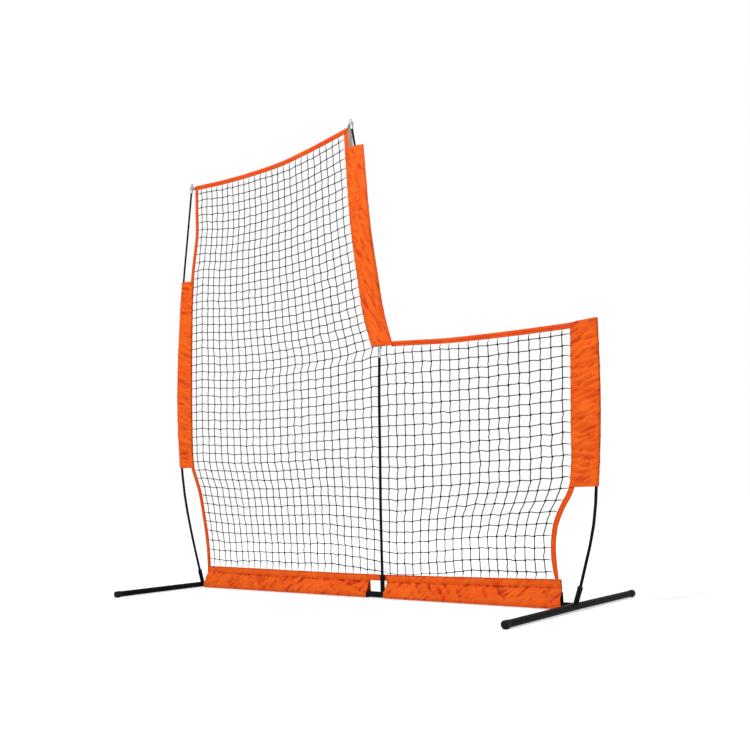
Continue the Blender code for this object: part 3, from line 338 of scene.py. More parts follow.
def colour_mix(tree, value, first, second, low=0.35, high=0.65):
    """A colour between two, as the value goes from low to high."""
    shades = add_node(tree, "ShaderNodeValToRGB", [("Fac", value)])
    for stop, position, colour in zip(shades.color_ramp.elements, (low, high), (first, second)):
        stop.position = position
        stop.color = (*colour, 1)
    return shades.outputs["Color"]


def bump(tree, height, strength, distance, before=None):
    """A bump, on top of an earlier one if there is one."""
    inputs = [("Height", height), ("Strength", strength), ("Distance", distance)]
    if before is not None:
        inputs.append(("Normal", before))
    return add_node(tree, "ShaderNodeBump", inputs).outputs["Normal"]


def make_finish(name, colour, roughness, patterns, tint, rough, relief=None,
                metallic=0.0, shine=0.5, sheen=0.0):
    """A material: tint, rough and relief each name a pattern and say how it is used."""
    made, tree, shader = new_finish(name, colour, roughness, metallic, shine)
    drawn = {key: draw(tree, *numbers) for key, (draw, *numbers) in patterns.items()}
    tree.links.new(colour_mix(tree, drawn[tint[0]], *tint[1:]), shader.inputs["Base Color"])
    tree.links.new(between_values(tree, drawn[rough[0]], *rough[1:]), shader.inputs["Roughness"])
    if relief:
        tree.links.new(bump(tree, drawn[relief[0]], *relief[1:]), shader.inputs["Normal"])
    shader.inputs["Sheen Weight"].default_value = sheen
    return made


# %% [markdown]
# ### Hard finishes
#
# The feet, rails and sockets are steel with a black powder coat, which has a faint orange peel and
# goes a little greyer and rougher where it rubs. The poles are pultruded glass fibre: black, with
# fine streaks along their length. Ferrules and tips are drawn aluminium with brush marks round
# them. Caps and collars are black moulded plastic with a fine spark-eroded grain.

# %% Powder coat, glass fibre, aluminium and mouldings
DEEP_BLACK, RUBBED_BLACK = (0.004, 0.004, 0.005), (0.013, 0.013, 0.014)


def make_moulding(name, dark, light, roughness):
    """Moulded plastic that is scuffed to a lighter shade."""
    return make_finish(
        name, dark, roughness, {"pores": (grain, 1800, 2), "scuff": (grain, 45, 4, 0.7)},
        ("scuff", dark, light, 0.4, 0.75), ("scuff", roughness - 0.08, roughness + 0.10),
        ("pores", 0.3, 0.0002), shine=0.1)


POWDER_COAT = make_finish(
    "black_powder_coat", (0.007, 0.007, 0.008), 0.50, {"wear": (grain, 14, 5, 0.65), "peel": (grain, 900, 2)},
    ("wear", DEEP_BLACK, RUBBED_BLACK, 0.40, 0.80), ("wear", 0.36, 0.54), ("peel", 0.25, 0.0003), shine=0.025)
FIBREGLASS = make_finish(
    "black_fibreglass", (0.005, 0.005, 0.006), 0.50, {"streaks": (grain, 1, 3, 0.55, (900, 900, 12))},
    ("streaks", DEEP_BLACK, RUBBED_BLACK), ("streaks", 0.34, 0.52), ("streaks", 0.2, 0.0002), shine=0.02)
ALUMINIUM = make_finish(
    "drawn_aluminium", (0.45, 0.45, 0.46), 0.30,
    {"marks": (grain, 1, 3, 0.55, (30, 30, 2600)), "stain": (grain, 60, 3)},
    ("stain", (0.30, 0.30, 0.31), (0.52, 0.52, 0.53)), ("marks", 0.22, 0.42), ("marks", 0.25, 0.0002),
    metallic=1.0)
SPRING_STEEL = make_finish(
    "plated_spring_steel", (0.55, 0.55, 0.56), 0.28, {"plating": (grain, 320, 4)},
    ("plating", (0.46, 0.46, 0.47), (0.64, 0.64, 0.65)), ("plating", 0.22, 0.38), metallic=1.0)
BLACK_MOULDING = make_moulding("black_moulding_grain", (0.005, 0.005, 0.005), (0.014, 0.014, 0.014), 0.58)
GREY_MOULDING = make_moulding("grey_moulding_grain", (0.36, 0.39, 0.37), (0.48, 0.51, 0.48), 0.50)
HARD_FINISHES = (
    (POWDER_COAT, ("foot_tube", "rail", "spigot", "socket")),
    (FIBREGLASS, ("pole_lower", "pole_upper", "right_pole")),
    (ALUMINIUM, ("ferrule", "_tip")),
    (BLACK_MOULDING, ("front_cap", "rear_cap", "collar")),
    (GREY_MOULDING, ("tip_cap",)),
    (SPRING_STEEL, ("button", "button_spring")),
)


def dress_hard_parts():
    """Give each hard node the finish that its name asks for."""
    dressed = 0
    for name, node in NODES.items():
        for finish, endings in HARD_FINISHES:
            if name.endswith(endings):
                node.material_slots[0].material = finish
                dressed += 1
    return dressed


print("hard parts dressed:", dress_hard_parts())

# %% [markdown]
# ### Cloth, twine, webbing and hook tape
#
# The orange cloth is coated oxford nylon. Its weave is a chequer of tiny bumps, with fine crinkles
# from handling over it. The colour shifts a little from place to place, a painted shade turns it
# deeper orange in folds, edges and grooves, and a weak sheen gives the satin edge. The twine is
# braided, and fades here and there. Each look is a finish with the slot that it belongs to.

# %% Soft finishes
WEAVE_PITCH = 0.0011
# The cloth's painted shade: the attribute that holds how much each point gets, and its deep orange.
SHADE_ATTRIBUTE = "painted_shade_factor"
PAINTED_SHADE_ORANGE = (0.52, 0.022, 0.001, 1)


def make_orange_nylon(name, dark, light):
    """Coated nylon that a painted shade turns to a deep orange where the cloth's shade attribute is high."""
    made, tree, shader = new_finish(name, light, 0.55, shine=0.15)
    crinkle = grain(tree, 75, 5, 0.62, (1.0, 1.0, 1.6))
    # Painted shade: the attribute mixes the patchy orange towards deep orange in folds and along edges.
    painted_shade = add_node(tree, "ShaderNodeAttribute", attribute_name=SHADE_ATTRIBUTE).outputs["Fac"]
    patches = colour_mix(tree, grain(tree, 11, 4, 0.6), dark, light, 0.30, 0.62)
    shades = [("Factor", painted_shade), (6, patches), (7, PAINTED_SHADE_ORANGE)]
    mix = add_node(tree, "ShaderNodeMix", shades, data_type="RGBA")
    tree.links.new(mix.outputs[2], shader.inputs["Base Color"])
    tree.links.new(between_values(tree, crinkle, 0.45, 0.65), shader.inputs["Roughness"])
    soft = bump(tree, crinkle, 0.75, 0.0045)
    weave = woven(tree, WEAVE_PITCH, WEAVE_PITCH)
    tree.links.new(bump(tree, weave, 0.25, 0.0002, soft), shader.inputs["Normal"])
    shader.inputs["Sheen Weight"].default_value = 0.05
    shader.inputs["Sheen Roughness"].default_value = 0.4
    shader.inputs["Sheen Tint"].default_value = (1.0, 0.45, 0.20, 1)
    return made


def make_webbing(name, light):
    """Ribbed webbing between the light colour and a shade of it."""
    dark = tuple(0.6 * part for part in light)
    return make_finish(
        name, light, 0.80, {"dust": (grain, 70, 3), "ribs": (woven, 0.0020, 0.0012)},
        ("dust", dark, light), ("dust", 0.70, 0.88), ("ribs", 0.7, 0.0004), shine=0.2, sheen=0.15)


ORANGE_NYLON = (
    make_orange_nylon("orange_oxford_nylon", (0.92, 0.105, 0.004), (0.99, 0.150, 0.007)), "orange_nylon")
ORANGE_BINDING = (
    make_orange_nylon("orange_binding_tape", (0.86, 0.075, 0.003), (0.95, 0.115, 0.005)), "orange_nylon")
TWINE = (make_finish(
    "braided_black_twine", (0.006, 0.006, 0.007), 0.72, {"braid": (grain, 700, 2), "fade": (grain, 9, 3)},
    ("braid", (0.003, 0.003, 0.003), (0.012, 0.012, 0.013)), ("fade", 0.62, 0.82), ("braid", 0.6, 0.0008),
    shine=0.10), "net_twine")
WEBBING = (make_webbing("grey_webbing_weave", (0.42, 0.42, 0.35)), "grey_webbing")
PALE_WEBBING = (make_webbing("pale_webbing_weave", (0.62, 0.62, 0.56)), "grey_webbing")
HOOK_TAPE = (make_finish(
    "black_hook_pile", (0.006, 0.006, 0.006), 0.85, {"hooks": (pits, 750), "lint": (grain, 120, 4)},
    ("lint", (0.004, 0.004, 0.004), (0.024, 0.024, 0.025), 0.45, 0.8), ("lint", 0.78, 0.95),
    ("hooks", 0.9, 0.0008), shine=0.1), "hook_tape")
THREAD = (make_finish(
    "orange_thread", (0.50, 0.045, 0.004), 0.60, {"twist": (grain, 1500, 2)},
    ("twist", (0.42, 0.032, 0.003), (0.60, 0.055, 0.005)), ("twist", 0.5, 0.7), shine=0.2), "orange_nylon")
SOFT_LOOKS = (ORANGE_NYLON, ORANGE_BINDING, TWINE, WEBBING, PALE_WEBBING, HOOK_TAPE, THREAD)
print("soft finishes:", [finish.name for finish, slot in SOFT_LOOKS])

# %% [markdown]
# ## The knotted net
#
# A knotted net is a lattice of separate lengths of braided twine, tied where they cross. Here it
# is 47 meshes wide and 47 high, with the corner above the notch left out. A flat grid with a hole
# pattern would look like a fly screen, so every strand is a thin tube of its own, laid through the
# knots with a small S between them. A slack net doesn't lie in straight rows either: the table
# gives the height of some rows at a few places, and all others run smoothly between them.

# %% Where the knots are
NET_COLUMNS = 47
TALL_COLUMNS_ABOVE = 26
POLE_COLUMN = 27
NET_ROWS = 47
NOTCH_ROW = 24
NET_TOP, NET_HEIGHT = 2.1, 2.0
TABLE_ROWS = (1, 6, 12, 18, 24, 30, 36, 42, 46)
TALL_ROW_MM = (-1040, -845, -620, -395, -170, -50, 55, 175)
TALL_ROW_HEIGHTS = (  # tenths of a millimetre, read at each place along the screen
    (20665, 18625, 16000, 13480, 10975, 8440, 5890, 3325, 1495),
    (20425, 18250, 15655, 13195, 10720, 8260, 5725, 3145, 1345),
    (20320, 18100, 15520, 13030, 10585, 8125, 5635, 3100, 1390),
    (20320, 18130, 15505, 12985, 10570, 8095, 5605, 3100, 1345),
    (20620, 18370, 15655, 13075, 10600, 8110, 5635, 3100, 1375),
    (20860, 18505, 15790, 13165, 10675, 8155, 5590, 3010, 1285),
    (21150, 18700, 15925, 13300, 10780, 8170, 5560, 2905, 1180),
    (21450, 18900, 16060, 13440, 10880, 8200, 5500, 2770, 1045),
)
LOW_ROW_MM = (55, 175, 355, 580, 805, 1000)
LOW_ROW_HEIGHTS = (
    *(heights[4:] for heights in TALL_ROW_HEIGHTS[6:]),
    (10795, 8125, 5500, 2845, 1090), (10645, 8080, 5545, 3010, 1300),
    (10585, 8065, 5560, 3085, 1315), (10585, 8110, 5635, 3160, 1360),
)


def row_lines(places_mm, heights, first_row):
    """For each row of knots, its height as a smooth function of X."""
    wanted = np.arange(first_row, NET_ROWS + 1)
    known = [row for row in TABLE_ROWS if row >= first_row]
    inside = np.clip(wanted, known[0], known[-1])
    table = np.array([smooth_line(known, column)(inside) for column in np.array(heights) / 10000])
    spread = np.array(places_mm) / 1000 + MIDDLE_X
    return {int(row): smooth_line(spread, table[:, number]) for number, row in enumerate(wanted)}


TALL_ROWS = row_lines(TALL_ROW_MM, TALL_ROW_HEIGHTS, 1)
LOW_ROWS = row_lines(LOW_ROW_MM, LOW_ROW_HEIGHTS, NOTCH_ROW)


def edge_height(x, row):
    """The height of the net's own first or last row, sewn into its bands."""
    if row == NET_ROWS:
        band = BANDS["hem_band"]
        return band.line(x) + band.width / 2 - 0.004
    band = BANDS["notch_band" if row == NOTCH_ROW else "top_band"]
    return band.line(x) - band.width / 2 + 0.005


def pole_line(z):
    """The column of knots beside the centre pole, which leans away from it towards the ground."""
    return POLE_X - 0.0015 - 0.009 * np.clip((0.85 - z) / 0.70, 0, 1)


def column_x(column, row, z):
    """The X of a column of knots at a height."""
    left = BANDS["left_band"].line(z)
    if column > POLE_COLUMN:
        share = (column - POLE_COLUMN) / (NET_COLUMNS - POLE_COLUMN)
        return pole_line(z) + (BANDS["right_band"].line(z) - pole_line(z)) * share
    if row <= NOTCH_ROW:
        return left + (BANDS["centre_band"].line(z) - 0.008 - left) * column / TALL_COLUMNS_ABOVE
    return left + (pole_line(z) - left) * column / POLE_COLUMN


def knot_places():
    """Every knot as {(column, row): (point, sewn)}, with the small unevenness of tied twine."""
    chance = np.random.RandomState(11)
    knots = {}
    for row in range(NET_ROWS + 1):
        last = TALL_COLUMNS_ABOVE if row < NOTCH_ROW else NET_COLUMNS
        for column in range(last + 1):
            above_notch = row == NOTCH_ROW and column > TALL_COLUMNS_ABOVE
            at_edge = row in (0, NET_ROWS) or above_notch
            rows = TALL_ROWS if column <= POLE_COLUMN else LOW_ROWS
            z = NET_TOP - NET_HEIGHT * row / NET_ROWS
            for _ in range(3):
                x = float(column_x(column, row, z))
                z = float(edge_height(x, row) if at_edge else rows[row](x))
            shift = chance.normal(0, 1, 3)
            x += 0.0011 * (-1) ** row + 0.0012 * shift[0]
            z += 0.0009 * (-1) ** column + 0.0013 * shift[1]
            sewn = at_edge or column in (0, last)
            y = NET_Y if sewn else NET_Y + 0.0006 * shift[2]
            knots[(column, row)] = (Vector((x, y, z)), sewn)
    return knots


KNOTS = knot_places()
print("knots:", len(KNOTS))

# %% [markdown]
# The strands are curves with a round section, because a curve holds a thin round cord with few
# points, and it becomes a clean tube when it is made a mesh. Each knot is two short fat arcs that
# cross: one over the front and one over the back, as the two turns of a sheet bend lie.

# %% Strands and knots
STRAND_RADIUS = 0.0020
SEWN_RADIUS = 0.0012
TAPE_MARGIN = 0.012
KNOT_RADIUS = 0.0014
KNOT_REACH = 0.0027
KNOT_DEPTH = 0.0019
STRAND_SIDE_STEP = 0.0008
STRAND_LIFT = 0.0004


def strand_points(start, end, across, chance, near_tape):
    """The points of one strand after its first knot, with a slight S; near the tape it lies flat."""
    swing = STRAND_SIDE_STEP * (1 + 0.6 * chance.normal())
    lift = float(np.clip(STRAND_LIFT * chance.normal(), -STRAND_LIFT, STRAND_LIFT)) * (not near_tape)
    points = []
    for share, side in ((0.3, 1.0), (0.7, -1.0)):
        point = start.lerp(end, share) + across * swing * side
        point.y += lift
        points.append(point)
    return points + [end]


def knot_arcs(centre, chance):
    """The two crossing turns of a knot."""
    reach = KNOT_REACH * (1 + 0.12 * chance.normal())
    return [[
        centre + Vector((reach * share, face * KNOT_DEPTH * (abs(share) < 1), reach * share * lean))
        for share in (-1, -0.4, 0.4, 1)
    ] for face, lean in ((-1, 1), (1, -1))]


def under_tape(point):
    """Whether a point of the net lies under one of the edge tapes."""
    for node, band in BANDS.items():
        axis = 0 if node in LEVEL_BANDS else 2
        along, across = point[axis], point[2 - axis]
        aside = abs(across - band.line(along))
        if band.low - TAPE_MARGIN < along < band.high + TAPE_MARGIN and aside < band.width / 2 + TAPE_MARGIN:
            return True
    return False


def whole_strand(keys, across, chance):
    """A strand through its knots as (points, radii), pressed thinner under the edge tape."""
    first, sewn = KNOTS[keys[0]]
    points = [first]
    for key in keys[1:]:
        was_sewn = sewn
        knot, sewn = KNOTS[key]
        points += strand_points(points[-1], knot, across, chance, sewn or was_sewn)
    return points, [SEWN_RADIUS if under_tape(point) else STRAND_RADIUS for point in points]


def net_lines(first, last):
    """All strands and knot turns between two columns, as (points, radii) each."""
    chance = np.random.RandomState(23 + first)
    lines = []
    for column in range(first + 1, min(last, NET_COLUMNS - 1) + 1):
        top = 0 if column < POLE_COLUMN else NOTCH_ROW
        keys = [(column, row) for row in range(top, NET_ROWS + 1)]
        lines.append(whole_strand(keys, Vector((1, 0, 0)), chance))
    for row in range(1, NET_ROWS):
        end = TALL_COLUMNS_ABOVE if row <= NOTCH_ROW else last
        keys = [(column, row) for column in range(first, end + 1)]
        if keys:
            lines.append(whole_strand(keys, Vector((0, 0, 1)), chance))
    for (column, row), (centre, sewn) in KNOTS.items():
        if first < column <= last and not sewn:
            lines += [(arc, [KNOT_RADIUS] * len(arc)) for arc in knot_arcs(centre, chance)]
    return lines


def tube_mesh(name, lines, sides):
    """One mesh with a round tube along every line of points."""
    data = bpy.data.curves.new(name, "CURVE")
    data.dimensions = "3D"
    data.bevel_depth = 1.0
    data.bevel_resolution = sides
    data.use_fill_caps = True
    for points, radii in lines:
        spline = data.splines.new("POLY")
        spline.points.add(len(points) - 1)
        for place, point, radius in zip(spline.points, points, radii):
            place.co = (*point, 1)
            place.radius = radius
    holder = new_object(name, data)
    graph = bpy.context.evaluated_depsgraph_get()
    mesh = bpy.data.meshes.new_from_object(holder.evaluated_get(graph))
    bpy.data.objects.remove(holder)
    bpy.data.curves.remove(data)
    mesh.name = name
    mesh.shade_smooth()
    return mesh


def add_piece(name, mesh, look, *stands_for):
    """Put a finished mesh in the scene, riding on the screen."""
    finish, slot = look
    piece = new_object(name, mesh)
    mesh.materials.clear()
    mesh.materials.append(finish)
    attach(piece, "screen")
    if stands_for:
        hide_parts(*stands_for)
    return piece


for node, first, last in (("tall_net", 0, POLE_COLUMN), ("low_net", POLE_COLUMN, NET_COLUMNS)):
    lines = net_lines(first, last)
    mesh = tube_mesh(node + "_twine", lines, 1)
    add_piece(node + "_twine", mesh, TWINE, node)
    print(node, "strands and turns:", len(lines), "faces:", len(mesh.polygons))

# %% [markdown]
# ## Cloth made as curved sheets
#
# Every sewn piece is a single layer of cloth: a fine grid of points, rolled or folded to its place,
# with a live Solidify that gives it its thickness, 0.7 mm for the nylon. The helper keeps the flat
# cut in a UV map in metres, one value for each corner of each face, so that a loop can close on
# itself without breaking the weave. Stitches are short arcs of thread along a line on the cloth.

# %% Cloth and stitch helpers
CLOTH_THICKNESS = 0.0007
SAME_PLACE = 1e-6
STITCH_PITCH = 0.0048
STITCH_LENGTH = 0.0032
STITCH_RADIUS = 0.00035
STITCH_ARC = ((0.0, 0.0001), (0.25, 0.0004), (0.75, 0.0004), (1.0, 0.0001))


def ramp(value, width, low=0, high=1):
    """Rises from low to high as the value goes over the width."""
    return np.clip(value / width, low, high)


def bell(value, width):
    return np.exp(-(value / width) ** 2)


def steps_between(low, high, step):
    return np.linspace(low, high, max(2, int(round((high - low) / step)) + 1))


def run_length(points):
    """How far each point lies along its line, from 0."""
    return np.concatenate([[0], np.cumsum(np.linalg.norm(np.diff(points, axis=0), axis=1))])


def grid_of(*parts):
    """A grid of points from its coordinates, each spread over all rows and columns."""
    return np.stack(np.broadcast_arrays(*parts), axis=2)


def lay_flat(across, along):
    """The flat cut of a grid, and its width and length."""
    size = float(across[-1] - across[0]), float(along[-1] - along[0])
    return grid_of(across[None, :], along[:, None]), size


def outward_normals(places):
    """Unit normals of a grid of places: rows run along the piece, columns across it."""
    normals = np.cross(np.gradient(places, axis=1), np.gradient(places, axis=0))
    return normals / np.maximum(np.linalg.norm(normals, axis=2, keepdims=True), 1e-9)


def join_doubles(mesh):
    """Join the points of a mesh that lie in one place."""
    work = bmesh.new()
    work.from_mesh(mesh)
    bmesh.ops.remove_doubles(work, verts=work.verts, dist=SAME_PLACE)
    work.to_mesh(mesh)
    work.free()


def cloth_mesh(name, places, cut, closed, painted_shade):
    """A mesh on a grid of places, with its flat cut and the share of painted shade at each point."""
    rows, columns = places.shape[:2]
    work = bmesh.new()
    bmesh.ops.create_grid(work, x_segments=columns - 1, y_segments=rows - 1, size=0.5)
    mesh = bpy.data.meshes.new(name)
    work.to_mesh(mesh)
    work.free()
    mesh.vertices.foreach_set("co", places.reshape(-1).astype(np.float32))
    corners = np.empty(len(mesh.loops), np.int32)
    mesh.loops.foreach_get("vertex_index", corners)
    flat = mesh.uv_layers.new(name=CUT_MAP)
    flat.data.foreach_set("uv", cut.reshape(-1, 2)[corners].reshape(-1).astype(np.float32))
    # Painted shade for the cloth's material, none where no share is given.
    shade_values = np.zeros((rows, columns)) if painted_shade is None else painted_shade
    field = mesh.attributes.new(SHADE_ATTRIBUTE, "FLOAT", "POINT")
    field.data.foreach_set("value", shade_values.reshape(-1).astype(np.float32))
    if closed:
        join_doubles(mesh)
    mesh.shade_smooth()
    return mesh


def add_cloth(name, places, laid, look, nodes, closed=False, thickness=CLOTH_THICKNESS, painted_shade=None):
    """A cloth piece with its thickness; laid is its cut and flat size."""
    cut, flat = laid
    piece = add_piece(name, cloth_mesh(name, places, cut, closed, painted_shade), look, *nodes)
    shell = piece.modifiers.new("cloth_thickness", "SOLIDIFY")
    shell.thickness = thickness
    shell.offset = 0
    print(name, "flat size", round(flat[0], 4), "by", round(flat[1], 4), "m")


def stitches_along(path, outward):
    """Arcs of thread along a line of points on the cloth, with the outward direction at each."""
    steps = run_length(path)
    arcs = []
    for start in np.arange(STITCH_PITCH / 2, steps[-1] - STITCH_LENGTH, STITCH_PITCH):
        arc = []
        for share, lift in STITCH_ARC:
            at = start + share * STITCH_LENGTH
            point, side = (Vector([np.interp(at, steps, line[:, axis]) for axis in range(3)])
                           for line in (path, outward))
            arc.append(point + side * (CLOTH_THICKNESS / 2 + lift))
        arcs.append((arc, [STITCH_RADIUS] * len(arc)))
    return arcs


def stitch_lines(places, normals, columns, rows=()):
    """Stitches along some of the columns and rows of a cloth."""
    lines = [(places[:, column], normals[:, column]) for column in columns]
    lines += [(places[row], normals[row]) for row in rows]
    return [stitch for path, outward in lines for stitch in stitches_along(path, outward)]


def sew(name, stitches):
    """One piece of thread for a list of stitches."""
    add_piece(name, tube_mesh(name, stitches, 0), THREAD)
    print(name, "stitches:", len(stitches))


# %% [markdown]
# ## Creases
#
# Cloth under a slanting pull doesn't wave evenly. It forms sharp ridges with a valley beside them
# that start at a held edge and run out in the middle. Each crease here is a line with a ridge on
# one side and a valley on the other, tapered at both ends. Between them lie small folds from noise
# that is drawn out along the direction of the pull.

# %% Crease helpers
CREASE_UNITS = (1000, 1000, 1000, 1000, 10000, 10000)


def crease_field(along, across, creases):
    """Heights from creases: the start's two places, the end's two, the width and the height."""
    total = np.zeros_like(along)
    for start_a, start_b, end_a, end_b, width, height in creases:
        run = np.array((end_a - start_a, end_b - start_b))
        length = np.linalg.norm(run)
        run = run / length
        part_a, part_b = along - start_a, across - start_b
        forward = (part_a * run[0] + part_b * run[1]) / length
        aside = (-part_a * run[1] + part_b * run[0]) / width
        fade = np.clip(1 - np.abs(2 * forward - 1) ** 4, 0, 1)
        total += height * (np.exp(-aside ** 2) - 0.7 * np.exp(-(aside - 1.5) ** 2)) * fade
    return total


def noise_field(along, across, scale, stretch, angle, seed):
    """Long soft folds that run along the angle, from about -1 to 1."""
    turn = math.radians(angle)
    main = (along * math.cos(turn) + across * math.sin(turn)) / (scale * stretch)
    side = (-along * math.sin(turn) + across * math.cos(turn)) / scale
    values = [
        noise.noise((a, b, seed)) + 0.3 * noise.noise((2.3 * a, 2.3 * b, seed + 7.0))
        for a, b in zip(main.ravel().tolist(), side.ravel().tolist())
    ]
    return 1.8 * np.array(values).reshape(along.shape)


def small_folds(along, across, folds, angle, seed):
    """Noise folds: each has its height, its scale, its stretch, its own turn and its own seed."""
    return sum(height * noise_field(along, across, scale, stretch, angle + turn, seed + own)
               for height, scale, stretch, turn, own in folds)


def noise_row(stations, scale, second, third):
    """Noise along a row of stations."""
    return np.array([noise.noise((station * scale, second, third)) for station in stations])


def valley_depth(height):
    """Painted shade from how deep a point lies in a fold: 0 on the cloth's higher half, 1 in the deepest
    valleys.
    """
    level, deepest = np.percentile(height, (50, 1))
    return np.clip((level - height) / (level - deepest), 0, 1) ** 1.3


# %% [markdown]
# ## Folded edge bands
#
# The net's edge is bound with a tape that is folded round it, like the binding of a sail: one leaf
# in front, one behind, and the fold outside. The band follows the line of the model's ribbon. Its
# cross section is a U, swept along that line.

# %% Folded bands
LEAF_OFFSET = 0.0021
LEAF_COLUMNS = 15
BAND_STEP = 0.006
STEP_SHARE = 0.45
STITCH_INSET = 0.003
HEM_LEAVES = (0.0112, 0.0134)
NOWHERE = (1e3, 1e3)


def fold_section(width, front, back, back_reach):
    """The U of a folded tape as (across, y): across is 0 at the free edge, width at the fold."""
    radius, middle = (back - front) / 2, (back + front) / 2
    inner = width - radius
    section = [(share * inner, front) for share in np.linspace(0, 1, LEAF_COLUMNS)]
    section += [(inner + radius * math.sin(turn), middle - radius * math.cos(turn))
                for turn in np.linspace(0, math.pi, 6)[1:-1]]
    section += [(inner - share * (inner - (width - back_reach)), back) for share in np.linspace(0, 1, 6)]
    return np.array(section)


def add_band(node, axis, outward, leaves=(NET_Y - LEAF_OFFSET, NET_Y + LEAF_OFFSET), back_share=1.0,
             trim=(0.0, 0.0), narrow=0.0, step=0.0, hidden=NOWHERE):
    """A folded band on a node's line, and its stitches: axis 0 runs level, axis 2 upright.

    trim shortens its two ends, narrow is the share of its width that is lost at its low end, and
    step is how far the half towards its fold stands in front of the other half. hidden is the stretch
    that lies under a sleeve, where the band is flat and its stitches aren't needed.
    """
    band = BANDS[node]
    front, back = leaves
    low, high = band.low + trim[0], band.high - trim[1]
    stations = steps_between(low, high, BAND_STEP)
    section = fold_section(band.width, front, back, band.width * back_share)
    section_across, section_y = section.T
    middle = band.line(stations)
    kept = 1 - narrow * np.clip(1 - (stations - low) / 0.09, 0, 1) ** 2
    reach = (band.width / 2 - (band.width - section_across)[None, :] * kept[:, None]) * outward
    wobble = 0.0006 * noise_row(stations, 9, axis * 3.0, band.width * 90)
    pucker = 0.00035 * np.stack([noise_row(stations, 55, float(a) * 240, 3.0) for a in section_across], 1)
    turn = np.gradient(middle, stations) * ramp(np.minimum(stations - low, high - stations), 0.03)
    across = (reach + wobble[:, None]) * (1 / np.sqrt(1 + turn ** 2))[:, None]
    places = np.zeros((len(stations), len(section), 3))
    places[:, :, axis] = stations[:, None] - across * turn[:, None]
    places[:, :, 2 - axis] = middle[:, None] + across
    share = section_across[None, :] / band.width
    raised = 1 / (1 + np.exp(-(share - STEP_SHARE) / 0.02)) * ramp(1 - share, 0.12)
    on_front = section_y[None, :] < (front + back) / 2
    from_end = (ramp(stations - low, 0.03) * ramp(hidden[0] - stations, 0.02))[:, None]
    places[:, :, 1] = section_y[None, :] + pucker - step * raised * on_front * from_end
    # Painted shade on the tape: a dark line where the raised half steps out, a darker top edge on the hem,
    # and darker where the tape puckers in.
    fold_line_shade = bell(share - STEP_SHARE + 0.02, 0.05) * on_front * (step > 0)
    rise = places[:, :, 2 - axis] - middle[:, None]
    hem_top_shade = 0.7 * ramp(rise / band.width - 0.36, 0.1) * (node == "hem_band")
    painted_shade = np.clip(0.9 * fold_line_shade + hem_top_shade + np.clip(-pucker / 0.0006, 0, 0.5), 0, 1)
    laid = lay_flat(run_length(section), run_length(np.stack((stations, middle), 1)))
    look = ORANGE_NYLON if node == "hem_band" else ORANGE_BINDING
    add_cloth(node + "_tape", places, laid, look, [node], painted_shade=painted_shade)
    free_edge = int(np.argmin(np.abs(section[:LEAF_COLUMNS, 0] - STITCH_INSET)))
    stitches = stitches_along(places[:, free_edge], np.tile((0.0, -1.0, 0.0), (len(stations), 1)))
    return [stitch for stitch in stitches if not hidden[0] - 0.004 < stitch[0][0][axis] < hidden[1]]


def under_sleeve(node):
    """The heights between which a sleeve covers its band."""
    low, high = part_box(node)
    return low.z - 0.008, high.z + 0.004


band_stitches = add_band("top_band", 0, 1, step=0.0010)
band_stitches += add_band("left_band", 2, -1, trim=(-0.0003, 0), hidden=under_sleeve("left_sleeve"))
band_stitches += add_band("centre_band", 2, 1, hidden=under_sleeve("centre_sleeve"))
band_stitches += add_band("right_band", 2, 1, trim=(-0.0003, 0), narrow=0.28,
                          hidden=under_sleeve("right_sleeve"))
add_band("hem_band", 0, -1, leaves=HEM_LEAVES, back_share=0.55)

# %% [markdown]
# ## Pole sleeves
#
# A sleeve is one panel of cloth. It starts on the front of the net's edge, goes round the pole and
# comes back to the net's edge from behind, so it covers the edge band too. The pole pulls it flat.
# At every height its outline is the tight loop round two or three circles, left open at the net:
# the band's fold, the pole with a little room, and for the centre sleeve the wide outer edge. The
# places of the pole and the outer edge come from the rings of the model's own sleeve.

# %% Sleeve outlines
POLE_CIRCLE = 0.0090
EDGE_CIRCLE = 0.0014
RING_GAP, RING_HEIGHT, POLE_RING_GAP = 0.02, 0.003, 0.012
RING_ROOM = 0.0005
OUTER_EDGE_Y = 0.006
LAP_OFFSET = LEAF_OFFSET + CLOTH_THICKNESS + 0.0006
LAP_COVER = 0.0008
SLEEVE_COLUMNS = 84
SLEEVE_STEP = 0.0035
TAPE_REACH_LOW, TAPE_REACH_RISE = 0.93, 0.05
NOTCH_TAPE_TRIM = 0.016
NOTCH = BANDS["notch_band"]
NOTCH_TAPE_END = NOTCH.high - NOTCH_TAPE_TRIM
OUTWARD = {"left": -1, "centre": 1, "right": 1}


def tight_loop(circles, inner_x, outward):
    """The cloth's outline round the circles, from the net's front face to its back face."""
    turns = np.linspace(0, 2 * math.pi, 48, endpoint=False)
    rings = [np.stack((x + r * np.cos(turns), y + r * np.sin(turns)), 1) for x, y, r in circles]
    cloud = np.concatenate(rings)
    cloud[:, 0] = (cloud[:, 0] - inner_x) * outward
    cloud = cloud[cloud[:, 0] > RING_ROOM]
    cloud = np.concatenate([cloud, [(0, NET_Y - LAP_OFFSET), (0, NET_Y + LAP_OFFSET)]])
    cloud = cloud[np.lexsort((cloud[:, 1], cloud[:, 0]))]

    def half(points):
        chain = []
        for point in points:
            while len(chain) > 1:
                a, b = chain[-2], chain[-1]
                if (b[0] - a[0]) * (point[1] - a[1]) - (b[1] - a[1]) * (point[0] - a[0]) > 0:
                    break
                chain.pop()
            chain.append(point)
        return chain[:-1]

    loop = np.array(half(cloud.tolist()) + half(cloud[::-1].tolist()))
    length = run_length(loop)
    wanted = np.linspace(0, length[-1], SLEEVE_COLUMNS)
    x = inner_x + outward * np.interp(wanted, length, loop[:, 0])
    return np.stack((x, np.interp(wanted, length, loop[:, 1])), 1), length[-1]


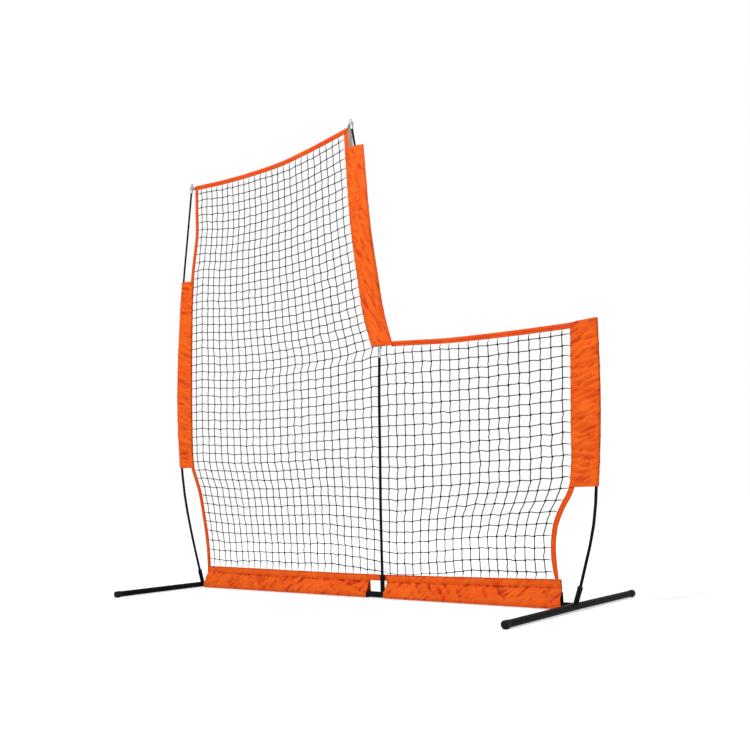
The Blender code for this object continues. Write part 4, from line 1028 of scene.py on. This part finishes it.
def ring_edges(node, foot_drop):
    """The left and right reach of a sleeve's rings as smooth functions of height, and its ends."""
    rings = [row for row in rows_of(node, 2, RING_GAP) if np.ptp(row[:, 2]) < RING_HEIGHT + foot_drop]
    heights, lows, highs = row_spans(rings, 2)
    return smooth_line(heights, lows), smooth_line(heights, highs), heights[0], heights[-1]


def pole_middle(name):
    """The middle line of a pole, from its full rings of points."""
    heights, lows, highs = row_spans([row for row in rows_of(name, 2, POLE_RING_GAP) if len(row) > 5], 2)
    return smooth_line(heights, (lows + highs) / 2)


CENTRE_POLE_LINE = pole_middle("centre_pole_upper")


def inner_edge(side, z):
    """The X of a sleeve's edge on the net, which covers the band's free edge."""
    band = BANDS[side + "_band"]
    return band.line(z) - OUTWARD[side] * (band.width / 2 + LAP_COVER)


def sleeve_circles(side, lows, highs, z):
    """The circles that hold a sleeve open at one height."""
    low, high = float(lows(z)), float(highs(z))
    band = BANDS[side + "_band"]
    fold = (float(band.line(z)) + OUTWARD[side] * band.width / 2, NET_Y, LAP_OFFSET)
    if side == "left":
        return [fold, (low + POLE_CIRCLE + RING_ROOM, 0, POLE_CIRCLE)]
    if side == "right":
        reach = min(max((z - TAPE_REACH_LOW) / TAPE_REACH_RISE, 0), 1)
        tape_end = (fold[0] + (NOTCH_TAPE_END - fold[0]) * reach, NET_Y, LAP_OFFSET)
        return [fold, tape_end, (high - POLE_CIRCLE - RING_ROOM, 0, POLE_CIRCLE)]
    edge = (high - EDGE_CIRCLE - CLOTH_THICKNESS, OUTER_EDGE_Y, EDGE_CIRCLE)
    return [fold, (float(CENTRE_POLE_LINE(z)), 0, POLE_CIRCLE), edge]


print("notch tape ends at x =", round(NOTCH_TAPE_END, 4))

# %% [markdown]
# The net pulls on a sleeve at every knot. That draws its edge out in small scallops, and a short
# wrinkle runs into the cloth from each of them. The long folds lie along the pull between the pole
# and the net. The folds are pushed out along the cloth's own normals. Where the cloth lies close to
# a pole or to the tape inside, it can only stand out and not sink in.

# %% Sleeves
EDGE_KNOTS = {
    side: [KNOTS[(column, row)][0].z for row in range(first, last)] for side, column, first, last in (
        ("left", 0, 1, NET_ROWS),
        ("centre", TALL_COLUMNS_ABOVE, 1, NOTCH_ROW),
        ("right", NET_COLUMNS, NOTCH_ROW + 1, NET_ROWS),
    )
}
SCALLOP = 0.0014
SCALLOP_WIDTH = 0.009
SCALLOP_REACH = 0.010
SLEEVE_FOLDS = ((0.0038, 0.016, 5.0, 0, 0), (0.0013, 0.008, 4.0, 0, 3))
SLEEVE_END_ROOM = 0.0006
FREE_SINK = 0.0022
TIGHT_SINK = 0.0001
POLE_REACH = 0.012
TAPE_REACH = 0.006
FOOT_SLANT_HEIGHT = 0.25
TOP_SLANT_HEIGHT = 0.12


def scallop(side, z):
    """How far the net draws the edge out at a height."""
    pulls = [bell(z - knot, SCALLOP_WIDTH) for knot in EDGE_KNOTS[side]]
    return SCALLOP * (np.sum(pulls, axis=0) - 0.3)


def knot_wrinkles(side, bottom, top):
    """A short crease into the cloth from every knot on the edge."""
    chance = np.random.RandomState(len(side))
    creases = []
    for z in EDGE_KNOTS[side]:
        if bottom < z < top:
            x = float(inner_edge(side, z)) - MIDDLE_X
            reach = OUTWARD[side] * (0.020 + 0.016 * chance.rand())
            end = z + 0.012 * chance.normal()
            creases.append((x, z, x + reach, end, 0.0045, 0.0013 + 0.0008 * chance.rand()))
    return creases


def sleeve_shape(side, foot_drop, top_line):
    """A sleeve's smooth places, the length of each outline, its heights and its pole's X."""
    lows, highs, bottom, top = ring_edges(side + "_sleeve", foot_drop)
    bottom, top = bottom + SLEEVE_END_ROOM, top - SLEEVE_END_ROOM
    if top_line is not None:
        top = float(top_line(inner_edge(side, top)))
    heights = steps_between(bottom, top, SLEEVE_STEP)
    loops = [tight_loop(sleeve_circles(side, lows, highs, z), float(inner_edge(side, z)), OUTWARD[side])
             for z in heights]
    outlines = np.array([outline for outline, length in loops])
    places = grid_of(outlines[:, :, 0], outlines[:, :, 1], heights[:, None])
    x = places[:, :, 0]
    if foot_drop:
        near_foot = np.clip(1 - (heights[:, None] - bottom) / FOOT_SLANT_HEIGHT, 0, 1)
        aside = (x - x.min(axis=1, keepdims=True)) / np.ptp(x, axis=1)[:, None]
        places[:, :, 2] -= foot_drop * near_foot * aside
    if top_line is not None:
        places[:, :, 2] += near_top(heights) * (top_line(x) - top)
    pole_x = {"left": lows(heights) + POLE_CIRCLE, "right": highs(heights) - POLE_CIRCLE,
              "centre": CENTRE_POLE_LINE(heights)}[side]
    return places, np.array([length for outline, length in loops]), heights, pole_x


def near_top(heights):
    """A share that rises to 1 at the top row of a sleeve."""
    return np.clip(1 - (heights[-1] - heights[:, None]) / TOP_SLANT_HEIGHT, 0, 1)


def add_sleeve(side, creases, angle, seed, foot_drop=0.0, top_line=None):
    """A sleeve with its folds, on the rings of the model's own sleeve."""
    places, lengths, heights, pole_x = sleeve_shape(side, foot_drop, top_line)
    bottom, top = heights[0], heights[-1]
    share = np.broadcast_to(np.linspace(0, 1, SLEEVE_COLUMNS), places.shape[:2])
    normals = outward_normals(places) * OUTWARD[side]
    x, z = places[:, :, 0] - MIDDLE_X, places[:, :, 2]
    front = share < 0.5
    edge = np.minimum(share, 1 - share) * lengths[:, None]
    rim = np.abs(share - 0.5) * lengths[:, None]
    ends = np.minimum(heights - bottom, top - heights)[:, None]
    big = crease_field(x, z, creases) * np.where(front, 1.0, 0.4)
    pulled = crease_field(x, z, knot_wrinkles(side, bottom, top))
    slack = small_folds(x, z, SLEEVE_FOLDS, angle, seed)
    held = ramp(edge, 0.010) * ramp(rim, 0.016, 0.12) * ramp(ends, 0.016, 0.15)
    height = (big + slack) * held + pulled * ramp(edge, 0.003, 0.2)
    # Painted shade: deeper orange in fold valleys, and on the front along the fold round the pole, along the
    # edge on the net and at both ends.
    edge_shade = 0.5 * bell(rim, 0.005) + 0.5 * bell(edge, 0.002) + 0.4 * bell(ends, 0.002)
    painted_shade = np.clip(0.75 * valley_depth(big + slack + pulled) + edge_shade * front, 0, 1)
    near_pole = np.hypot(places[:, :, 0] - pole_x[:, None], places[:, :, 1]) < POLE_REACH
    over_tape = edge < BANDS[side + "_band"].width + TAPE_REACH
    if top_line is not None:
        over_tape = over_tape | (near_top(heights) > 0.75)
    sink = np.where(near_pole | over_tape | ~front, TIGHT_SINK, FREE_SINK)
    height = np.maximum(height, -sink * ramp(edge, 0.006, 0.2))
    places += normals * height[:, :, None]
    places[:, :, 0] -= OUTWARD[side] * scallop(side, z) * np.exp(-edge / SCALLOP_REACH)
    laid = (grid_of(share * lengths[:, None], z), (float(np.mean(lengths)), float(top - bottom)))
    node = side + "_sleeve"
    add_cloth(node + "_panel", places, laid, ORANGE_NYLON, [node], painted_shade=painted_shade)
    return places, normals


# The four places of each crease are in millimetres, its width and height in tenths of them.
LEFT_CREASES = np.array([
    (-1200, 930, -1110, 910, 90, 34), (-1200, 885, -1090, 845, 100, 40), (-1190, 800, -1090, 765, 90, 36),
    (-1190, 755, -1100, 720, 90, 32), (-1180, 1510, -1100, 1565, 90, 32), (-1190, 1450, -1110, 1475, 90, 30),
    (-1200, 660, -1100, 670, 80, 30), (-1200, 1020, -1120, 1000, 90, 26),
]) / CREASE_UNITS
RIGHT_CREASES = np.array([
    (1000, 985, 1100, 1025, 80, 40), (1010, 935, 1140, 1010, 90, 50), (1000, 895, 1120, 960, 90, 44),
    (1020, 885, 1080, 860, 80, 36), (1000, 620, 1120, 600, 90, 40), (1010, 575, 1110, 560, 80, 40),
    (1000, 545, 1120, 530, 80, 38), (1010, 520, 1090, 500, 80, 32), (1000, 490, 1100, 485, 70, 28),
    (1030, 640, 1120, 610, 90, 26),
]) / CREASE_UNITS
CENTRE_CREASES = np.array([
    (60, 1990, 10, 1850, 100, 34), (0, 1815, 80, 1812, 80, 30), (0, 1790, 70, 1785, 70, 28),
    (-10, 1750, 70, 1748, 80, 34), (0, 1712, 80, 1705, 80, 34), (10, 1690, 90, 1640, 100, 42),
    (20, 1670, 110, 1520, 120, 44), (10, 1530, 120, 1330, 130, 46), (30, 1400, 130, 1220, 110, 42),
    (20, 1320, 140, 1165, 110, 40), (30, 1250, 150, 1115, 100, 36), (10, 1200, 80, 1110, 90, 30),
]) / CREASE_UNITS


def notch_top(x):
    """Just above the notch tape, where the right sleeve ends."""
    near_edge = np.clip(1 - (x - inner_edge("right", NOTCH.line(x))) / 0.03, 0, 1)
    return NOTCH.line(x) + NOTCH.width / 2 + 0.0008 - 0.003 * near_edge


left_places, left_normals = add_sleeve("left", LEFT_CREASES, -20, 1.0)
right_places, right_normals = add_sleeve("right", RIGHT_CREASES, 17, 4.0, top_line=notch_top)
centre_places, centre_normals = add_sleeve("centre", CENTRE_CREASES, -60, 8.0, foot_drop=0.007)

# %% [markdown]
# The notch's tape runs on round the foot of the centre sleeve as a hem. It is laid on the sleeve's
# lowest rows, a little way out along the cloth's normals. Then come the rows of stitches: one along
# both edges on the net, and one along each end of a sleeve that no tape covers.

# %% Foot hem and stitches
FOOT_HEM_HEIGHT = 0.0175
FOOT_HEM_LIFT = CLOTH_THICKNESS + 0.0004
NOTCH_TAPE_BEHIND = 0.0150
SEAM_COLUMNS = (2, -3)  # near both edges of a sleeve, counted from either end
FOOT_ROW, HEAD_ROW, CENTRE_HEAD_ROW = 3, -4, -7


def add_foot_hem(places, normals):
    """The tape round the foot of the centre sleeve."""
    rows = int(round(FOOT_HEM_HEIGHT / SLEEVE_STEP)) + 1
    columns = int(np.argmax(places[0, :, 0])) - 2
    strip = places[:rows, :columns] + normals[:rows, :columns] * FOOT_HEM_LIFT
    laid = lay_flat(run_length(strip[2]), np.arange(rows) * SLEEVE_STEP)
    add_cloth("centre_sleeve_hem", strip, laid, ORANGE_BINDING, [])


add_foot_hem(centre_places, centre_normals)
right_edge_on_tape = float(inner_edge("right", NOTCH.line(NOTCH_TAPE_END)))
band_stitches += add_band("notch_band", 0, 1, trim=(-NOTCH_TAPE_BEHIND, NOTCH_TAPE_TRIM), step=0.0010,
                          hidden=(right_edge_on_tape - 0.004, NOTCH.high))
sew("band_stitching", band_stitches)
sleeve_thread = stitch_lines(left_places, left_normals, SEAM_COLUMNS, (FOOT_ROW, HEAD_ROW))
sleeve_thread += stitch_lines(right_places, right_normals, SEAM_COLUMNS, (FOOT_ROW,))
sleeve_thread += stitch_lines(centre_places, centre_normals, SEAM_COLUMNS, (CENTRE_HEAD_ROW,))
sew("sleeve_stitching", sleeve_thread)

# %% [markdown]
# ## The skirt
#
# The skirt is sewn over the front of the hem, hangs from it, goes round under the rail and comes up
# behind it, where it presses on the hook tape. It is made as one curved sheet for each length: the
# section of the model's skirt, rounded, is swept from one end to the other. Its folds run slantwise,
# as cloth does that is pulled along by its ends, and it is crumpled where the hem's tape ends.

# %% Skirt
SKIRT_SECTION = np.array([  # shares of the reach and of the rise
    (0.480, 1.33), (0.480, 1.16), (0.480, 1.00), (0.53, 0.91), (0.34, 0.82), (0.02, 0.67), (-0.42, 0.48),
    (-0.76, 0.31), (-0.86, 0.17), (-0.64, 0.05), (0.0, 0.0), (0.64, 0.05), (1.0, 0.20), (0.98, 0.42),
    (0.93, 0.63), (0.873, 0.80), (0.873, 1.12),
])
SKIRT_REACH = 0.0205
SKIRT_BOTTOM = 0.0023
SKIRT_RISE = 0.075
SKIRT_STEP = 0.0034
SKIRT_COLUMNS = 74
SKIRT_END_ROOM = 0.0006
SKIRT_FOLDS = ((0.0036, 0.015, 3.6, 42, 0), (0.0013, 0.008, 3.0, 35, 2))
SKIRT_CRUMPLE = ((0.0022, 0.0085, 1.5, 75, 5),)
SKIRT_STITCH_COLUMNS = (1, 7)
FRONT_LIMITS, BACK_LIMITS = (-0.0026, 0.006), (-0.0004, 0.002)
GROUND_ROOM = 0.0014
END_FLARE, END_FLARE_LENGTH = 0.010, 0.07
HEM_PUCKERS, HEM_PUCKER_HEIGHT = 42, 0.0016


def add_skirt(node, creases, seed):
    """One length of the skirt with its folds."""
    low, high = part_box(node)
    stations = steps_between(low.x + SKIRT_END_ROOM, high.x - SKIRT_END_ROOM, SKIRT_STEP)
    length = run_length(SKIRT_SECTION * (SKIRT_REACH, SKIRT_RISE))
    wanted = np.linspace(0, length[-1], SKIRT_COLUMNS)
    share_y, share_z = (smooth_line(length, shares)(wanted) for shares in SKIRT_SECTION.T)
    level = share_z[None, :]
    hem = BANDS["hem_band"]
    tape_foot = (hem.line(stations) - hem.width / 2)[:, None]
    hem_share = np.clip((share_z - 1) / (share_z[0] - 1), 0, 1)[None, :]
    on_hem = (np.arange(SKIRT_COLUMNS) < SKIRT_COLUMNS / 2)[None, :]
    below = SKIRT_BOTTOM + (tape_foot - SKIRT_BOTTOM) * level
    above = tape_foot + (hem.width - 0.0001) * hem_share
    rise = np.where(on_hem & (level > 1), above, below)
    places = grid_of(stations[:, None], (share_y * SKIRT_REACH)[None, :], rise)
    normals = outward_normals(places)
    x, z = places[:, :, 0] - MIDDLE_X, places[:, :, 2]
    front = np.broadcast_to(on_hem & (level > 0.05), x.shape)
    fold = crease_field(x, z, creases)
    small = small_folds(x, z, SKIRT_FOLDS, 0, seed)
    crumple = small_folds(x, z, SKIRT_CRUMPLE, 0, seed) * bell(level - 0.93, 0.10)
    valleys = valley_depth(fold + small + crumple)
    over_tape = ramp(level - 0.92, 0.05) * on_hem
    held = ramp(z - 0.006, 0.014, 0.05)
    height = ((fold + small) * np.where(front, 1.0, 0.3) + crumple * front) * held
    height = np.where(over_tape > 0, np.maximum(height * (1 - 0.75 * over_tape), 0), height)
    height = np.where(front, np.clip(height, *FRONT_LIMITS), np.clip(height, *BACK_LIMITS))
    places += normals * height[:, :, None]
    places[:, :, 2] = np.maximum(places[:, :, 2], GROUND_ROOM)
    near_end = np.clip(1 - (stations[-1] - stations) / END_FLARE_LENGTH, 0, 1) * (node == "right_skirt")
    places[:, :, 0] += END_FLARE * near_end[:, None] * np.clip(1 - share_z, 0, 1)[None, :] * on_hem
    puckers = noise_row(stations, HEM_PUCKERS, 3.0, seed)[:, None]
    places[:, :, 2] += HEM_PUCKER_HEIGHT * puckers * hem_share ** 2 * on_hem
    # Painted shade: deeper orange in fold valleys, a dark band in the groove under the hem's tape, and a
    # darker top edge on the front.
    groove_shade = 0.75 * bell(level - 0.94, 0.045) * np.clip(0.8 - height / 0.004, 0.2, 1)
    top_edge_shade = 0.7 * ramp(hem_share - 0.80, 0.2)
    painted_shade = np.clip(0.95 * valleys * (1 - 0.5 * over_tape) + (groove_shade + top_edge_shade) * front, 0, 1)
    laid = lay_flat(run_length(np.stack((share_y * SKIRT_REACH, share_z * SKIRT_RISE), 1)), stations)
    add_cloth(node + "_cloth", places, laid, ORANGE_NYLON, [node], painted_shade=painted_shade)
    return places, normals


LEFT_SKIRT_CREASES = np.array([
    (-900, 10, -840, 65, 80, 36), (-800, 5, -700, 62, 90, 42), (-660, 65, -600, 12, 80, 34),
    (-600, 20, -540, 66, 80, 36), (-500, 66, -450, 15, 70, 32), (-420, 10, -280, 66, 100, 46),
    (-270, 66, -210, 10, 90, 40), (-200, 66, -150, 20, 80, 36), (-160, 70, 40, 8, 90, 60),
    (-100, 30, 30, 64, 80, 40),
]) / CREASE_UNITS
RIGHT_SKIRT_CREASES = np.array([
    (130, 10, 170, 62, 80, 34), (170, 15, 250, 66, 90, 42), (280, 66, 330, 10, 80, 40),
    (330, 68, 400, 15, 80, 40), (370, 68, 440, 15, 70, 36), (420, 68, 480, 15, 70, 36),
    (470, 68, 520, 15, 70, 34), (530, 10, 580, 66, 80, 38), (600, 66, 640, 20, 70, 32),
    (660, 66, 720, 18, 80, 40), (760, 15, 830, 64, 80, 36), (860, 64, 920, 15, 80, 34),
]) / CREASE_UNITS
skirt_thread = []
SKIRTS = (("left_skirt", LEFT_SKIRT_CREASES, 2.0), ("right_skirt", RIGHT_SKIRT_CREASES, 5.0))
for node, creases, seed in SKIRTS:
    skirt_thread += stitch_lines(*add_skirt(node, creases, seed), SKIRT_STITCH_COLUMNS)
sew("skirt_stitching", skirt_thread)

# %% [markdown]
# ## Hook tape and corner straps
#
# The hook tape is a stiff strip behind the hem. The corner straps are webbing loops that hold the
# sail to the pole tips. All are strips on the line of the model's own.

# %% Straps and hook tape
STRAP_ROOM, STRAP_END_ROOM = 0.0001, 0.0005
STRAP_THICKNESS = 0.0006
STRIP_THICKNESS = 0.0011


def add_hook_strip(node):
    """A level strip in the middle of its node."""
    strip = band_line(node, 0)
    stations = steps_between(strip.low, strip.high, 0.006)
    across = np.linspace(-strip.width / 2, strip.width / 2, 9)
    middle = strip.line(stations)
    x = stations[:, None] - across[None, :] * np.gradient(middle, stations)[:, None]
    places = grid_of(x, box_middle(node).y, middle[:, None] + across[None, :])
    add_cloth(node + "_strip", places, lay_flat(across, stations), HOOK_TAPE, [node],
              thickness=STRIP_THICKNESS)


def add_corner_strap(node):
    """A loop round a pole's tip, midway between the inner and outer ring of its node."""
    low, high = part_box(node)
    points = node_points(node)
    middle = points[:, :2].mean(axis=0)
    ring = points[points[:, 2] < low.z + (high.z - low.z) * 0.5][:, :2]
    ring = ring[np.argsort(np.arctan2(ring[:, 1] - middle[1], ring[:, 0] - middle[0]))]
    ring = (ring[0::2] + ring[1::2]) / 2
    ring = ring + (ring - middle) / np.linalg.norm(ring - middle, axis=1)[:, None] * STRAP_ROOM
    loop = np.concatenate([ring, ring[:1]])
    heights = np.linspace(low.z + STRAP_END_ROOM, high.z - STRAP_END_ROOM, 9)
    places = grid_of(loop[None, :, 0], loop[None, :, 1], heights[:, None])
    add_cloth(node + "_strip", places, lay_flat(run_length(loop), heights), PALE_WEBBING, [node],
              closed=True, thickness=STRAP_THICKNESS)


add_hook_strip("left_hook_strip")
add_hook_strip("right_hook_strip")
add_corner_strap("left_corner_strap")
add_corner_strap("centre_corner_strap")

# %% [markdown]
# Two strips reach a little further than the model's. The strap beside the centre band runs down to
# the sleeve and fills the wedge between band and pole. At the right end of the skirt the hook tape
# turns down inside the cloth and shows as a black edge.

# %% Edge strap and end tape
EDGE_STRAP_EXTRA = 0.005
EDGE_STRAP_ROOM = 0.0008
END_TAPE_WIDTH = 0.036
END_TAPE_PROUD = 0.003
END_TAPE_FOOT = 0.024
END_TAPE_ROOM = 0.0006


def flat_strip(name, left, right, heights, y, look, nodes):
    """A strip of cloth in the screen's plane between two edges, given as X at every height."""
    share = np.linspace(0, 1, 11)
    x = left[:, None] + (right - left)[:, None] * share[None, :]
    places = grid_of(x, y, heights[:, None])
    laid = lay_flat(share * float(np.mean(right - left)), heights)
    add_cloth(name, places, laid, look, nodes, thickness=STRIP_THICKNESS)


def add_edge_strap():
    """The strap beside the centre band, from the sleeve up."""
    node = "centre_edge_strap"
    strap = band_line(node, 2)
    band = BANDS["centre_band"].line
    heights = steps_between(float(centre_places[-1, :, 2].max()) + EDGE_STRAP_ROOM, strap.high, 0.005)
    below = strap.line(strap.low) + band(heights) - band(strap.low)
    middle = np.where(heights < strap.low, below, strap.line(heights))
    left, right = middle - strap.width / 2, middle + strap.width / 2 + EDGE_STRAP_EXTRA
    flat_strip(node + "_strip", left, right, heights, box_middle(node).y, WEBBING, [node])


def add_end_tape():
    """The hook tape that turns down at the skirt's right end."""
    low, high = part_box("right_hook_strip")
    heights = steps_between(END_TAPE_FOOT, low.z - END_TAPE_ROOM, 0.005)
    edge = np.full(len(heights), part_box("right_skirt")[1].x + END_TAPE_PROUD)
    flat_strip("right_end_tape", edge - END_TAPE_WIDTH, edge, heights, (low.y + high.y) / 2, HOOK_TAPE, [])


add_edge_strap()
add_end_tape()

# %% [markdown]
# ## Springs
#
# Under each button lies a bent leaf spring, hidden in the rail. It can't follow the button as a
# rigid piece. A copy of the model's spring, with its loose triangles joined, stands for it.


def let_spring_give(side):
    """A copy of the leaf spring with its loose triangles joined, in place of the model's."""
    node = side + "_button_spring"
    mesh = NODES[node].data.copy()
    join_doubles(mesh)
    piece = add_piece(side + "_leaf_spring", mesh, (SPRING_STEEL, "spring_steel"), node)
    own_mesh(piece)


for side in OUTWARD:
    let_spring_give(side)
